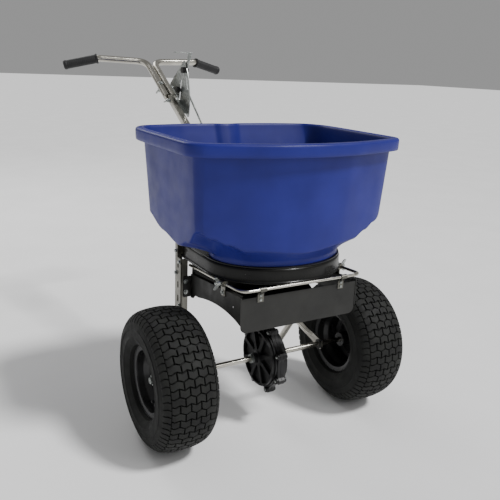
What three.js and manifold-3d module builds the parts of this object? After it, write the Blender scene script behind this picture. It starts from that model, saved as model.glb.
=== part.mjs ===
// Walk-behind broadcast salt spreader with side baffles and a front shield.
// Millimetres, +Z up. The machine pushes towards -Y, the handle points to +Y and the axle lies along X.
// Everything is laid out from the middle of the axle line at ground level, and the whole group is moved
// at the end so that its origin is the middle of its bounding box, at the ground.

import * as THREE from 'three';
import { mergeVertices } from 'three/addons/utils/BufferGeometryUtils.js';
import Module from 'manifold-3d';

const wasm = await Module();
wasm.setup();

// ---------------------------------------------------------------- driving dimensions

const GAP = 0.3;                 // clearance between pieces that rest on each other
const SHEET = 3;                 // plate thickness of the stainless frame

const TYRE_RADIUS = 184;         // 15 x 6.00-6 turf tyre
const TYRE_HALF_WIDTH = 78;
const HALF_TRACK = 293;          // middle of a tyre from the centre plane
const RIM_FLANGE_RADIUS = 92;
const RIM_HALF_WIDTH = 57;
const HUB_HALF_LENGTH = 32;
const HUB_RADIUS = 21;
const AXLE_RADIUS = 7.5;
const AXLE_HEIGHT = TYRE_RADIUS;
const AXLE_HALF_LENGTH = HALF_TRACK + HUB_HALF_LENGTH + 5;

const GEARBOX_RADIUS = 88;
const GEARBOX_HALF_WIDTH = 24;
const GEARBOX_LUGS = 8;
const GEARBOX_NECK_TOP = 342;
const RING_GEAR_RADIUS = 66;
const PINION_RADIUS = 12.3;
const PINION_TEETH = 6;
const RING_GEAR_TEETH = 30;
const GEAR_FACE_X = PINION_RADIUS + 0.4; // root of the face gear's teeth
const TOOTH_DEPTH = 3;
const TOOTH_LENGTH = 12;
const SHAFT_RADIUS = 6;

const LEG_X = 188;               // side frames, outside the deck and inside the wheels
const LEG_TUBE_RADIUS = 10;
const LEG_APEX = [136, 218];     // [y, z] of the bend under the post
const LEG_FOOT_Y = 288;
const FOOT_PAD = 10;             // rubber under the end of the leg, along the leg
const POST_OUTER_X = 201.5;
const POST_INNER_X = 181;
const POST_FRONT_Y = 125;
const POST_REAR_Y = 165;
const POST_TOP = 525;

const DECK_TOP = 497;            // the hopper stands on this height
const DECK_BOTTOM = 456;
const DECK_HALF_WIDTH = 190;
const DECK_FRONT_Y = -163;
const DECK_REAR_Y = 148;
const DECK_CENTRE_Y = -10;
const DECK_PLATE = 3;
const PORT_RADIUS = 14;
const PORT_Y = -62;
const GATE_TRAVEL = 33.5;

const NECK_HALF_WIDTH = 180;     // hopper outlet, an ellipse
const NECK_CENTRE_Y = -20;
const NECK_HALF_DEPTH = 132;
const NECK_TOP = 510;
const HOPPER_WALL = 4.5;
const RIM_TOP = 798;
const RIM_BAND = 30;             // height of the turned-down rim
const RIM_OVERHANG = 22;

const IMPELLER_HEIGHT = 385;
const IMPELLER_RADIUS = 118;
const AGITATOR_HEIGHT = 540;

const ROD_RADIUS = 4;            // U-shaped rod that carries the front shield
const ROD_FRONT = [-168, 455];   // [y, z]
const ROD_REAR = [136, 434.5];
const ROD_HALF_WIDTH = 176;
const ROD_CLAMP_Y = -72;
const CLAMP_HALF = 8;
const SHIELD_HALF_WIDTH = 169.5;
const SHIELD_TOP = 433;
const SHIELD_BOTTOM = 345;
const SHIELD_Y = -157;           // front face
const CLIP_X = 119;
const BAFFLE_X = 170;            // inner face
const BAFFLE_THICKNESS = 2.5;

const HANDLE_SLOPE = Math.atan(0.589);
const HANDLE_POINT = [563, 773]; // [y, z] of a point on the handle's centre line
const SLEEVE_HALF = 10;          // square tube
const SLEEVE_WALL = 2;
const SLEEVE_START_Y = 196;
const SLEEVE_END_Y = 687;
const TONGUE_START_Y = 560;
const TONGUE_END_Y = 775;
const HANDLE_TUBE_RADIUS = 11;
const HANDLE_TUBE_WALL = 1.5;
const HANDLE_TUBE_X = 12.5;
const HANDLE_TUBE_START_Y = 690;
const HANDLE_TURN_Y = 880;       // where the tubes turn out to the grips
const GRIP_START = [181, 897, 965];
const GRIP_END = [289, 926, 939];
const GRIP_RADIUS = 16;

const QUADRANT_X = 27;           // inner face of the control plate
const QUADRANT_THICKNESS = 2.5;
const LEVER_PIVOT = [630, 938];  // [y, z]
const LEVER_X = QUADRANT_X + QUADRANT_THICKNESS + 1; // inner face
const LEVER_THICKNESS = 3;
const GATE_ROD_X = 41;
const GATE_ROD_TOP = [647, 876];
const GATE_ROD_FOOT = [190, 496.5];
const GATE_ROD_RADIUS = 3;
const STOP_PLACE = [666.5, 873]; // [y, z]

// ---------------------------------------------------------------- materials

const finish = (color, roughness, metalness) =>
  new THREE.MeshStandardMaterial({ color, roughness, metalness });
const bluePoly = () => finish(0x2d3e8c, 0.45, 0);
const stainless = () => finish(0xb9b6ab, 0.35, 1);
const zincPlate = () => finish(0xa3a9a6, 0.45, 1);
const glossBlack = () => finish(0x101112, 0.2, 0);
const satinBlack = () => finish(0x24251f, 0.55, 0);
const blackSteel = () => finish(0x0e0f10, 0.25, 0.4);
const rubber = () => finish(0x2a2b2c, 0.85, 0);

// ---------------------------------------------------------------- solid helpers

const assembly = new THREE.Group();

// Adds one named piece to the assembly.
function piece(name, geometry, material) {
  const mesh = new THREE.Mesh(geometry, material);
  mesh.name = name;
  assembly.add(mesh);
}

// Runs a maker once for the left side (-1) and once for the right side (+1).
function bothSides(make) {
  make(-1, 'left');
  make(1, 'right');
}

// A closed three.js geometry as a manifold solid.
function solid(geometry) {
  const bare = geometry.index ? geometry.toNonIndexed() : geometry.clone();
  bare.deleteAttribute('normal');
  bare.deleteAttribute('uv');
  const merged = mergeVertices(bare, 1e-4);
  return new wasm.Manifold(new wasm.Mesh({
    numProp: 3,
    vertProperties: new Float32Array(merged.attributes.position.array),
    triVerts: new Uint32Array(merged.index.array),
  }));
}

// A manifold solid as a three.js geometry.
function geometryOf(body) {
  const mesh = body.getMesh();
  const geometry = new THREE.BufferGeometry();
  geometry.setAttribute('position', new THREE.BufferAttribute(new Float32Array(mesh.vertProperties), 3));
  geometry.setIndex(new THREE.BufferAttribute(new Uint32Array(mesh.triVerts), 1));
  return geometry;
}

// Joins the first list of geometries, then cuts the second list from them.
function shape(joined, cut = []) {
  let body = solid(joined[0]);
  for (const extra of joined.slice(1)) body = body.add(solid(extra));
  for (const tool of cut) body = body.subtract(solid(tool));
  return geometryOf(body);
}

// A box given by its lowest and highest corners.
function box([x0, y0, z0], [x1, y1, z1]) {
  const geometry = new THREE.BoxGeometry(x1 - x0, y1 - y0, z1 - z0);
  return geometry.translate((x0 + x1) / 2, (y0 + y1) / 2, (z0 + z1) / 2);
}

// A cylinder between two points.
function rod(from, to, radius, sides = 20) {
  const a = new THREE.Vector3(...from);
  const b = new THREE.Vector3(...to);
  const geometry = new THREE.CylinderGeometry(radius, radius, a.distanceTo(b), sides);
  const turn = new THREE.Quaternion().setFromUnitVectors(
    new THREE.Vector3(0, 1, 0), b.clone().sub(a).normalize());
  geometry.applyQuaternion(turn);
  const middle = a.add(b).multiplyScalar(0.5);
  return geometry.translate(middle.x, middle.y, middle.z);
}

// A closed ring turned about an axis: profile points are [radius, distance along the axis].
function turned(profile, segments) {
  const points = profile.map(([radius, along]) => new THREE.Vector2(radius, along));
  if (profile[0][0] > 0) points.push(points[0].clone());
  return new THREE.LatheGeometry(points, segments);
}

const aboutX = (geometry) => geometry.rotateZ(-Math.PI / 2);
const aboutZ = (geometry) => geometry.rotateX(Math.PI / 2);

// A flat outline with optional holes, each a THREE.Path drawn clockwise inside it.
function outline(points, holes = []) {
  const corners = points.map(([u, v]) => new THREE.Vector2(u, v));
  if (THREE.ShapeUtils.isClockWise(corners)) corners.reverse();
  const flat = new THREE.Shape(corners);
  flat.holes.push(...holes);
  return flat;
}

function circle(u, v, radius) {
  const path = new THREE.Path();
  path.absarc(u, v, radius, 0, 2 * Math.PI, true);
  return path;
}

// A slot with round ends between two points.
function slot([u0, v0], [u1, v1], radius) {
  const along = Math.atan2(v1 - v0, u1 - u0);
  const path = new THREE.Path();
  path.absarc(u1, v1, radius, along + Math.PI / 2, along - Math.PI / 2, true);
  path.absarc(u0, v0, radius, along - Math.PI / 2, along - 3 * Math.PI / 2, true);
  path.closePath();
  return path;
}

const extrude = (flat, depth, curveSegments = 8) =>
  new THREE.ExtrudeGeometry(flat, { depth, bevelEnabled: false, curveSegments });

// A plate whose outline is in [y, z], standing at x0.
function plateAtX(flat, x0, thickness) {
  const standing = new THREE.Matrix4().makeBasis(
    new THREE.Vector3(0, 1, 0), new THREE.Vector3(0, 0, 1), new THREE.Vector3(1, 0, 0));
  return extrude(flat, thickness).applyMatrix4(standing).translate(x0, 0, 0);
}

// A plate whose outline is in [x, z], standing at y0.
function plateAtY(flat, y0, thickness) {
  return extrude(flat, thickness).rotateX(Math.PI / 2).translate(0, y0 + thickness, 0);
}

// A plate whose outline is in [x, y], lying at z0.
function plateAtZ(flat, z0, thickness, curveSegments) {
  return extrude(flat, thickness, curveSegments).translate(0, 0, z0);
}

// Straight runs joined by bends: a path through points, with one bend radius at each corner. It has a
// station at each end of a straight run and a few round each bend. Equal steps of t go from one station
// to the next.
class BentPath extends THREE.Curve {
  constructor(points, bend, bendSteps = 5) {
    super();
    const corners = points.map((p) => new THREE.Vector3(...p));
    const direction = (i) => corners[i + 1].clone().sub(corners[i]).normalize();
    this.stations = [{ point: corners[0], tangent: direction(0) }];
    for (let i = 1; i < corners.length - 1; i++) {
      const before = direction(i - 1);
      const after = direction(i);
      const setback = bend * Math.tan(before.angleTo(after) / 2);
      const arcStart = corners[i].clone().addScaledVector(before, -setback);
      const arcEnd = corners[i].clone().addScaledVector(after, setback);
      const arc = new THREE.QuadraticBezierCurve3(arcStart, corners[i], arcEnd);
      for (let k = 0; k <= bendSteps; k++) {
        this.stations.push({ point: arc.getPoint(k / bendSteps), tangent: arc.getTangent(k / bendSteps) });
      }
    }
    this.stations.push({ point: corners[corners.length - 1], tangent: direction(corners.length - 2) });
    this.steps = this.stations.length - 1;
  }

  between(t, key) {
    const i = Math.min(this.steps - 1, Math.floor(t * this.steps + 1e-9));
    const [a, b] = [this.stations[i][key], this.stations[i + 1][key]];
    return a.clone().lerp(b, t * this.steps - i);
  }

  getPoint(t, target = new THREE.Vector3()) {
    return target.copy(this.between(t, 'point'));
  }

  getPointAt(t, target) {
    return this.getPoint(t, target);
  }

  getTangentAt(t, target = new THREE.Vector3()) {
    return target.copy(this.between(t, 'tangent')).normalize();
  }
}

// A bar or tube of round section along a bent path. A tube has an inner radius.
function bent(points, bend, radius, sides = 12, inner = 0) {
  const section = new THREE.Shape();
  section.absarc(0, 0, radius, 0, 2 * Math.PI, false);
  if (inner > 0) section.holes.push(circle(0, 0, inner));
  const extrudePath = new BentPath(points, bend);
  const { steps } = extrudePath;
  return new THREE.ExtrudeGeometry(section, { extrudePath, steps, curveSegments: sides / 2 });
}

// ---------------------------------------------------------------- hopper

// Rim outline seen from above, right half, from the front middle to the back middle.
const RIM_PLAN = [[0, -212], [110, -202], [228, -170], [275, -150], [300, -112], [303, 0], [302, 185],
  [262, 255], [150, 281], [44, 286], [15, 279], [0, 277]];

// Height where the wall turns in to the funnel, by angle from the front middle (0) to the back middle (180).
const WALL_FOOT = [[0, 534], [45, 547], [54, 564], [60, 579], [68, 594], [73, 591], [80, 560], [93, 537],
  [110, 552], [124, 578], [150, 592], [180, 602]];

// A value between the rows of a table of [key, value].
function between(table, key) {
  let i = 1;
  while (i < table.length - 1 && table[i][0] < key) i += 1;
  const [k0, v0] = table[i - 1];
  const [k1, v1] = table[i];
  const t = (key - k0) / (k1 - k0);
  return v0 + (v1 - v0) * (0.5 - 0.5 * Math.cos(Math.PI * Math.min(1, Math.max(0, t))));
}

// The rim outline as a smooth curve through its points, with its mirror image.
function rimCurve() {
  const right = RIM_PLAN.map(([x, y]) => new THREE.Vector3(x, y, 0));
  const left = RIM_PLAN.slice(1, -1).reverse().map(([x, y]) => new THREE.Vector3(-x, y, 0));
  return new THREE.CatmullRomCurve3([...right, ...left], true, 'catmullrom', 0.35);
}

// Where the wall stands at a height, under a point of the rim: in from the rim by its overhang, and
// leaning further in as it goes down, more at the back than at the front.
function wallPoint(rim, normal, height) {
  const depth = (RIM_TOP - RIM_BAND - height) / 200;
  const lean = rim.y < 0 ? 16 : 16 + 42 * Math.min(1, rim.y / 250);
  return [rim.x - normal.x * (RIM_OVERHANG + 11 * depth), rim.y - normal.y * (RIM_OVERHANG + lean * depth)];
}

// The hopper's skin as a loop of rings: down the outside from the rim to the outlet and up the inside.
function hopper() {
  const columns = 72;
  const curve = rimCurve();
  const lipFoot = RIM_TOP - RIM_BAND;
  const rings = [];
  const mix = (a, b, t) => [a[0] + (b[0] - a[0]) * t, a[1] + (b[1] - a[1]) * t];
  for (let i = 0; i < columns; i++) {
    const rim = curve.getPoint(i / columns);
    const tangent = curve.getTangent(i / columns);
    const normal = new THREE.Vector2(tangent.y, -tangent.x);
    const inset = ([x, y], amount) => [x - normal.x * amount, y - normal.y * amount];
    const outward = new THREE.Vector2(rim.x, rim.y - NECK_CENTRE_Y).normalize();
    const angle = Math.abs(Math.atan2(outward.x, -outward.y)) * 180 / Math.PI;
    const footHeight = between(WALL_FOOT, angle);
    const middleHeight = (lipFoot + footHeight) / 2;
    const edge = [rim.x, rim.y];
    const foot = wallPoint(rim, normal, footHeight);
    const middle = wallPoint(rim, normal, middleHeight);
    const neck = [NECK_HALF_WIDTH * outward.x, NECK_CENTRE_Y + NECK_HALF_DEPTH * outward.y];
    const funnel = mix(foot, neck, 0.55);
    const funnelHeight = footHeight + (NECK_TOP - footHeight) * 0.5;
    const column = [
      [edge, RIM_TOP], [edge, lipFoot], [inset(edge, HOPPER_WALL), lipFoot],
      [wallPoint(rim, normal, lipFoot + 6), lipFoot + 6], [middle, middleHeight], [foot, footHeight],
      [funnel, funnelHeight], [neck, NECK_TOP], [neck, DECK_TOP + GAP],
      [inset(neck, HOPPER_WALL), DECK_TOP + GAP], [inset(neck, HOPPER_WALL), NECK_TOP + HOPPER_WALL],
      [inset(funnel, HOPPER_WALL / 2), funnelHeight + HOPPER_WALL],
      [inset(foot, HOPPER_WALL), footHeight + HOPPER_WALL], [inset(middle, HOPPER_WALL), middleHeight],
      [inset(wallPoint(rim, normal, RIM_TOP), HOPPER_WALL), RIM_TOP],
    ];
    column.forEach(([[x, y], z], r) => {
      rings[r] ??= [];
      rings[r].push(new THREE.Vector3(x, y, z));
    });
  }
  return closedRings(rings);
}

// Skins a loop of rings into one closed body, the last ring joined to the first.
function closedRings(rings) {
  const columns = rings[0].length;
  const positions = rings.flat().flatMap((p) => [p.x, p.y, p.z]);
  const index = [];
  rings.forEach((_, r) => {
    const next = (r + 1) % rings.length;
    for (let c = 0; c < columns; c++) {
      const d = (c + 1) % columns;
      const [a, b, e, f] = [r * columns + c, r * columns + d, next * columns + c, next * columns + d];
      index.push(a, e, b, b, e, f);
    }
  });
  const geometry = new THREE.BufferGeometry();
  geometry.setAttribute('position', new THREE.Float32BufferAttribute(positions, 3));
  geometry.setIndex(index);
  return geometry;
}

piece('hopper', hopper(), bluePoly());

// ---------------------------------------------------------------- deck under the hopper

// Outline of the deck, inset by an amount: half an ellipse in front, straight sides and a flat back.
function deckOutline(inset) {
  const halfWidth = DECK_HALF_WIDTH - inset;
  const halfDepth = DECK_CENTRE_Y - DECK_FRONT_Y - inset;
  const points = [];
  const steps = 28;
  for (let i = 0; i <= steps; i++) {
    const turn = Math.PI + Math.PI * i / steps;
    points.push([halfWidth * Math.cos(turn), DECK_CENTRE_Y + halfDepth * Math.sin(turn)]);
  }
  points.push([halfWidth, DECK_REAR_Y - inset], [-halfWidth, DECK_REAR_Y - inset]);
  return points;
}

const bandTop = DECK_TOP - DECK_PLATE - GAP;
const gateSlot = box([31, DECK_REAR_Y - 8, bandTop - 8], [53, DECK_REAR_Y + 8, bandTop + 8]);
piece('deck_housing',
  shape([plateAtZ(outline(deckOutline(0)), DECK_BOTTOM, bandTop - DECK_BOTTOM)],
    [plateAtZ(outline(deckOutline(SHEET)), DECK_BOTTOM - 1, bandTop - DECK_BOTTOM + 2), gateSlot]),
  glossBlack());

const ports = (y) => [-38, 0, 38].map((x) => circle(x, y, PORT_RADIUS));
piece('deck_plate',
  plateAtZ(outline(deckOutline(0), [circle(0, 0, SHAFT_RADIUS + 5), ...ports(PORT_Y)]),
    DECK_TOP - DECK_PLATE, DECK_PLATE),
  glossBlack());

const shaftCollar = [[SHAFT_RADIUS + 0.4, 0], [SHAFT_RADIUS + 4.5, 0],
  [SHAFT_RADIUS + 4.5, DECK_PLATE + GAP], [SHAFT_RADIUS + 9, DECK_PLATE + GAP],
  [SHAFT_RADIUS + 9, DECK_PLATE + 4], [SHAFT_RADIUS + 0.4, DECK_PLATE + 4]];
piece('shaft_bushing', aboutZ(turned(shaftCollar, 14)).translate(0, 0, DECK_TOP - DECK_PLATE), satinBlack());

// Sliding shut-off plate with a strap that reaches out under the back of the hopper.
const gateTop = DECK_TOP - DECK_PLATE - 1;
const gateBody = outline([[-62, -90], [62, -90], [62, 40], [50, 60], [50, 198], [33, 198], [33, 60],
  [-40, 60], [-62, 40]],
[slot([0, 0], [0, GATE_TRAVEL], SHAFT_RADIUS + 7), ...ports(PORT_Y + GATE_TRAVEL)]);
piece('shutoff_gate', plateAtZ(gateBody, gateTop - 2.5, 2.5, 8), zincPlate());

// ---------------------------------------------------------------- side frames: legs, posts, feet

const legDirection = new THREE.Vector2(LEG_FOOT_Y - LEG_APEX[0], -LEG_APEX[1]).normalize();

// A bent tube from the axle up to the bend under the post and down to the ground behind it.
// Its front end is pressed flat and drilled for the axle bushing.
function leg(side) {
  const x = side * LEG_X;
  const slope = new THREE.Vector2(LEG_APEX[0], LEG_APEX[1] - AXLE_HEIGHT).normalize();
  const start = [x, slope.x * 30, AXLE_HEIGHT + slope.y * 30];
  const foot = [x, LEG_FOOT_Y - legDirection.x * (FOOT_PAD + 1), -legDirection.y * (FOOT_PAD + 1)];
  const tube = bent([start, [x, ...LEG_APEX], foot], 50, LEG_TUBE_RADIUS, 14, LEG_TUBE_RADIUS - 1.5);
  const flat = outline([[-12, -13], [6, -14], [34, -2], [40, 12], [34, 22], [6, 16], [-12, 12]]);
  const eye = plateAtX(flat, x - 2.5, 5).translate(0, 0, AXLE_HEIGHT);
  return shape([tube, eye], [rod([x - 10, 0, AXLE_HEIGHT], [x + 10, 0, AXLE_HEIGHT], 10)]);
}

// A rubber cup over the end of a leg, flat on the ground.
function footCap(side) {
  const x = side * LEG_X;
  const onLeg = (distance) => [x, LEG_FOOT_Y - legDirection.x * distance, -legDirection.y * distance];
  const cup = rod(onLeg(-22), onLeg(30), 14, 20);
  const socket = rod(onLeg(FOOT_PAD), onLeg(40), LEG_TUBE_RADIUS + GAP, 28);
  const ground = box([x - 60, LEG_FOOT_Y - 90, -60], [x + 60, LEG_FOOT_Y + 90, 0]);
  return shape([cup], [socket, ground]);
}

// A folded steel channel, open to the inside, with its web running down past the leg's bend.
function post(side) {
  const facing = (x0, x1, y0, y1, z0, z1) =>
    (side > 0 ? box([x0, y0, z0], [x1, y1, z1]) : box([-x1, y0, z0], [-x0, y1, z1]));
  const foot = LEG_APEX[1] + LEG_TUBE_RADIUS + 6;
  const webInner = POST_OUTER_X - SHEET;
  const web = facing(webInner, POST_OUTER_X, POST_FRONT_Y, POST_REAR_Y, foot - 40, POST_TOP);
  const front = facing(POST_INNER_X, POST_OUTER_X, POST_FRONT_Y, POST_FRONT_Y + SHEET, foot, POST_TOP);
  const rear = facing(POST_INNER_X, POST_OUTER_X, POST_REAR_Y - SHEET, POST_REAR_Y, foot, POST_TOP);
  const deckRelief = facing(POST_INNER_X - 5, POST_OUTER_X + 5, POST_FRONT_Y - 5, DECK_REAR_Y + 2,
    DECK_BOTTOM - 2, POST_TOP + 5);
  const slots = [DECK_BOTTOM - 22, 380, 300].map((z) => {
    const cut = plateAtX(outline([[-4, -9], [4, -9], [4, 9], [-4, 9]]), 0, 20);
    return cut.translate(side > 0 ? POST_OUTER_X - 10 : -POST_OUTER_X - 10, 152, z);
  });
  return shape([web, front, rear], [deckRelief, ...slots]);
}

function axleBushing(side) {
  const bore = AXLE_RADIUS + 0.4;
  const profile = [[bore, -7], [9.7, -7], [9.7, 2.8], [14, 2.8], [14, 6], [bore, 6]];
  const ring = aboutX(turned(profile, 16)).rotateZ(side > 0 ? Math.PI : 0);
  return ring.translate(side * LEG_X, 0, AXLE_HEIGHT);
}

bothSides((side, name) => {
  piece(`${name}_leg`, leg(side), stainless());
  piece(`${name}_foot_cap`, footCap(side), rubber());
  piece(`${name}_post`, post(side), stainless());
  piece(`${name}_axle_bushing`, axleBushing(side), satinBlack());
});

// Channel across the back between the posts. The saddle on it holds the handle sleeve.
const crossTop = 484;
const crossRear = 175;
const crossFront = DECK_REAR_Y + 2.3;
piece('rear_crossmember', shape([
  box([-POST_INNER_X + GAP, crossFront, crossTop - 32], [POST_INNER_X - GAP, crossRear, crossTop])],
[box([-POST_INNER_X - 5, crossFront + SHEET, crossTop - 40], [POST_INNER_X + 5, crossRear - SHEET,
  crossTop - SHEET])]), stainless());

const saddleInner = SLEEVE_HALF + GAP;
const saddleOutline = outline([[152, crossTop + GAP], [173, crossTop + GAP], [236, 562], [225, 584],
  [186, 562], [152, 520]]);
const saddleSide = (x) => plateAtX(saddleOutline, x, SHEET);
piece('handle_saddle', shape([
  box([-saddleInner - SHEET, 152, crossTop + GAP], [saddleInner + SHEET, 173, crossTop + GAP + SHEET]),
  saddleSide(saddleInner), saddleSide(-saddleInner - SHEET)]), stainless());

// ---------------------------------------------------------------- baffles, shield and its rod

// Side baffle: a plate with an arched lower edge that keeps the throw off the wheels, and a tab folded
// out against the front of the post.
function baffle(side) {
  const front = SHIELD_Y - 1;
  const flat = new THREE.Shape();
  flat.moveTo(124, 341);
  flat.lineTo(124, 409.5);
  flat.lineTo(front, 438);
  flat.lineTo(front, 367);
  flat.bezierCurveTo(-110, 380, -30, 386, 74, 358);
  flat.lineTo(96, 356);
  flat.lineTo(108, 344);
  const x = side > 0 ? BAFFLE_X : -BAFFLE_X - BAFFLE_THICKNESS;
  const tabFrom = Math.min(side * BAFFLE_X, side * (POST_OUTER_X - 6));
  const tabTo = Math.max(side * BAFFLE_X, side * (POST_OUTER_X - 6));
  const tabRear = POST_FRONT_Y - GAP;
  return shape([plateAtX(flat, x, BAFFLE_THICKNESS),
    box([tabFrom, tabRear - BAFFLE_THICKNESS, 345], [tabTo, tabRear, 405])]);
}

// Panel across the back of the throw space, between the two baffles.
const rearPanelHalf = BAFFLE_X - 0.5;
const rearPanelRear = POST_FRONT_Y - 1.5;
piece('rear_panel', box([-rearPanelHalf, rearPanelRear - BAFFLE_THICKNESS, 345],
  [rearPanelHalf, rearPanelRear, DECK_BOTTOM - GAP]), satinBlack());

// The height of the rod's side run at a place along the machine.
function rodHeight(y) {
  const share = (y - ROD_FRONT[0]) / (ROD_REAR[0] - ROD_FRONT[0]);
  return ROD_FRONT[1] + (ROD_REAR[1] - ROD_FRONT[1]) * share;
}

const rodEnd = POST_FRONT_Y - 2;
const rodRun = [
  [-ROD_HALF_WIDTH, rodEnd, rodHeight(rodEnd)], [-ROD_HALF_WIDTH, ...ROD_FRONT],
  [ROD_HALF_WIDTH, ...ROD_FRONT], [ROD_HALF_WIDTH, rodEnd, rodHeight(rodEnd)]];
piece('shield_rod', bent(rodRun, 26, ROD_RADIUS, 10), stainless());

// Clamp block under the deck's edge, with the rod through it.
function rodClamp(side) {
  const x = side * ROD_HALF_WIDTH;
  const z = rodHeight(ROD_CLAMP_Y);
  const y0 = ROD_CLAMP_Y - 12;
  const y1 = ROD_CLAMP_Y + 12;
  const block = box([x - CLAMP_HALF, y0, z - CLAMP_HALF], [x + CLAMP_HALF, y1, DECK_BOTTOM - GAP]);
  const bore = rod([x, y0 - 5, rodHeight(y0 - 5)], [x, y1 + 5, rodHeight(y1 + 5)], ROD_RADIUS + 0.5);
  const skirtMiddle = side * (BAFFLE_X + BAFFLE_THICKNESS + GAP + SHEET / 2);
  const skirt = box([skirtMiddle - SHEET / 2, y0 + 2, z - 34], [skirtMiddle + SHEET / 2, y1 - 2, z]);
  return shape([block, skirt], [bore]);
}

// A wing nut whose axis is +Z, standing on z = 0.
function wingNut() {
  const hub = rod([0, 0, 0], [0, 0, 9], 6, 16);
  const ear = (turn) => {
    const flat = outline([[2, 2], [8, 3], [16, 9], [17, 15], [12, 16], [4, 9]]);
    return plateAtY(flat, -1.5, 3).rotateZ(turn);
  };
  return shape([hub, ear(0), ear(Math.PI)]);
}

bothSides((side, name) => {
  piece(`${name}_baffle`, baffle(side), satinBlack());
  piece(`${name}_rod_clamp`, rodClamp(side), stainless());
  const nut = wingNut().rotateZ(0.6).rotateY(side * Math.PI / 2);
  nut.translate(side * (ROD_HALF_WIDTH + CLAMP_HALF + GAP), ROD_CLAMP_Y, rodHeight(ROD_CLAMP_Y));
  piece(`${name}_clamp_wing_nut`, nut, stainless());
});

// Front shield with rounded lower corners, hung from the rod by two clips.
function shield() {
  const flat = new THREE.Shape();
  const corner = 16;
  flat.moveTo(-SHIELD_HALF_WIDTH, SHIELD_TOP);
  flat.lineTo(-SHIELD_HALF_WIDTH, SHIELD_BOTTOM + corner);
  flat.absarc(-SHIELD_HALF_WIDTH + corner, SHIELD_BOTTOM + corner, corner, Math.PI, 1.5 * Math.PI, false);
  flat.absarc(SHIELD_HALF_WIDTH - corner, SHIELD_BOTTOM + corner, corner, 1.5 * Math.PI, 2 * Math.PI, false);
  flat.lineTo(SHIELD_HALF_WIDTH, SHIELD_TOP);
  return plateAtY(flat, SHIELD_Y, SHEET);
}
piece('front_shield', shield(), satinBlack());

// A strap rolled round the rod and running down the front of the shield.
function clip(side) {
  const [y, z] = ROD_FRONT;
  const flat = new THREE.Shape();
  const outer = ROD_RADIUS + 2.2;
  flat.absarc(y, z, outer, -0.1 * Math.PI, 1.35 * Math.PI, false);
  flat.lineTo(y + 5.5, z - 10);
  flat.lineTo(SHIELD_Y - 2.3, z - 15);
  flat.lineTo(SHIELD_Y - 2.3, z - 35);
  flat.lineTo(SHIELD_Y - GAP, z - 35);
  flat.lineTo(SHIELD_Y - GAP, z - 13);
  flat.holes.push(circle(y, z, ROD_RADIUS + 0.5));
  return plateAtX(flat, side * CLIP_X - 8.5, 17);
}
bothSides((side, name) => piece(`${name}_shield_clip`, clip(side), stainless()));

// ---------------------------------------------------------------- axle, wheels

piece('axle', rod([-AXLE_HALF_LENGTH, 0, AXLE_HEIGHT], [AXLE_HALF_LENGTH, 0, AXLE_HEIGHT], AXLE_RADIUS, 20),
  stainless());

// Half of the tyre's skin from the crown to the bead, [radius, distance from the middle].
const TYRE_SKIN = [[TYRE_RADIUS, 0], [TYRE_RADIUS - 1.5, 24], [TYRE_RADIUS - 5, 46], [TYRE_RADIUS - 12, 62],
  [TYRE_RADIUS - 26, 73], [TYRE_RADIUS - 46, TYRE_HALF_WIDTH], [TYRE_RADIUS - 68, 76], [TYRE_RADIUS - 84, 66],
  [RIM_FLANGE_RADIUS + 1, 54]];
const TYRE_LINING = [[81.5, 50.2], [81.5, 40], [100, 48], [130, 64], [158, 56], [172, 30]];

function tyre() {
  const right = [...TYRE_SKIN, ...TYRE_LINING];
  const left = right.slice(1).reverse().map(([r, x]) => [r, -x]);
  return aboutX(turned([...right, ...left], 28));
}

// Pressed steel rim with its disc and hub in one turned section, disc set a little outside the middle.
function rim() {
  const flange = RIM_FLANGE_RADIUS;
  const edge = RIM_HALF_WIDTH;
  const bore = AXLE_RADIUS + 0.5;
  return [[flange, -edge], [flange, -edge + 2.2], [80.8, -51], [80.8, -34], [70, -20], [70, 20], [80.8, 34],
    [80.8, 51], [flange, edge - 2.2], [flange, edge], [flange - 4, edge], [78, 54], [77.5, 33], [66.5, 19],
    [66.5, 12], [44, 15], [HUB_RADIUS + 6, 9], [HUB_RADIUS, 12], [HUB_RADIUS, HUB_HALF_LENGTH],
    [bore, HUB_HALF_LENGTH], [bore, -HUB_HALF_LENGTH], [HUB_RADIUS, -HUB_HALF_LENGTH], [HUB_RADIUS, 6],
    [HUB_RADIUS + 6, 5], [44, 11], [66.5, 8], [66.5, -19], [77.5, -33], [78, -54], [flange - 4, -edge]];
}

// End bolt and washer that keep a wheel on the axle.
const hubBolt = () => turned([[0, 0], [15, 0], [15, 2.5], [10, 2.6], [10, 8], [7, 9.5], [0, 9.5]], 16);

bothSides((side, name) => {
  const outward = (geometry) => geometry.rotateZ(side > 0 ? -Math.PI / 2 : Math.PI / 2);
  const wheelPlace = (geometry) => geometry.translate(side * HALF_TRACK, 0, AXLE_HEIGHT);
  piece(`${name}_tyre`, wheelPlace(tyre()), rubber());
  piece(`${name}_rim`, wheelPlace(outward(turned(rim(), 28))), blackSteel());
  const bolt = outward(hubBolt()).translate(side * (AXLE_HALF_LENGTH + GAP), 0, AXLE_HEIGHT);
  piece(`${name}_hub_bolt`, bolt, stainless());
  const stemFoot = [side * (HALF_TRACK + 25), 0, AXLE_HEIGHT - 65];
  const stem = rod(stemFoot, [side * (HALF_TRACK + 48), 0, AXLE_HEIGHT - 60], 4, 12);
  piece(`${name}_valve_stem`, stem, rubber());
});

// ---------------------------------------------------------------- gearbox, impeller drive

// Face outline of the gear case: a disc with bolt lugs round it and a neck to the top, in [y, z].
function caseOutline(radius, neckHalf, neckTop) {
  const disc = plateAtX(outline(ringPoints(radius, 32)), 0, GEARBOX_HALF_WIDTH - 0.2);
  const neck = box([0, -neckHalf, 0], [GEARBOX_HALF_WIDTH - 0.2, neckHalf, neckTop - AXLE_HEIGHT]);
  return [disc, neck];
}

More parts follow.
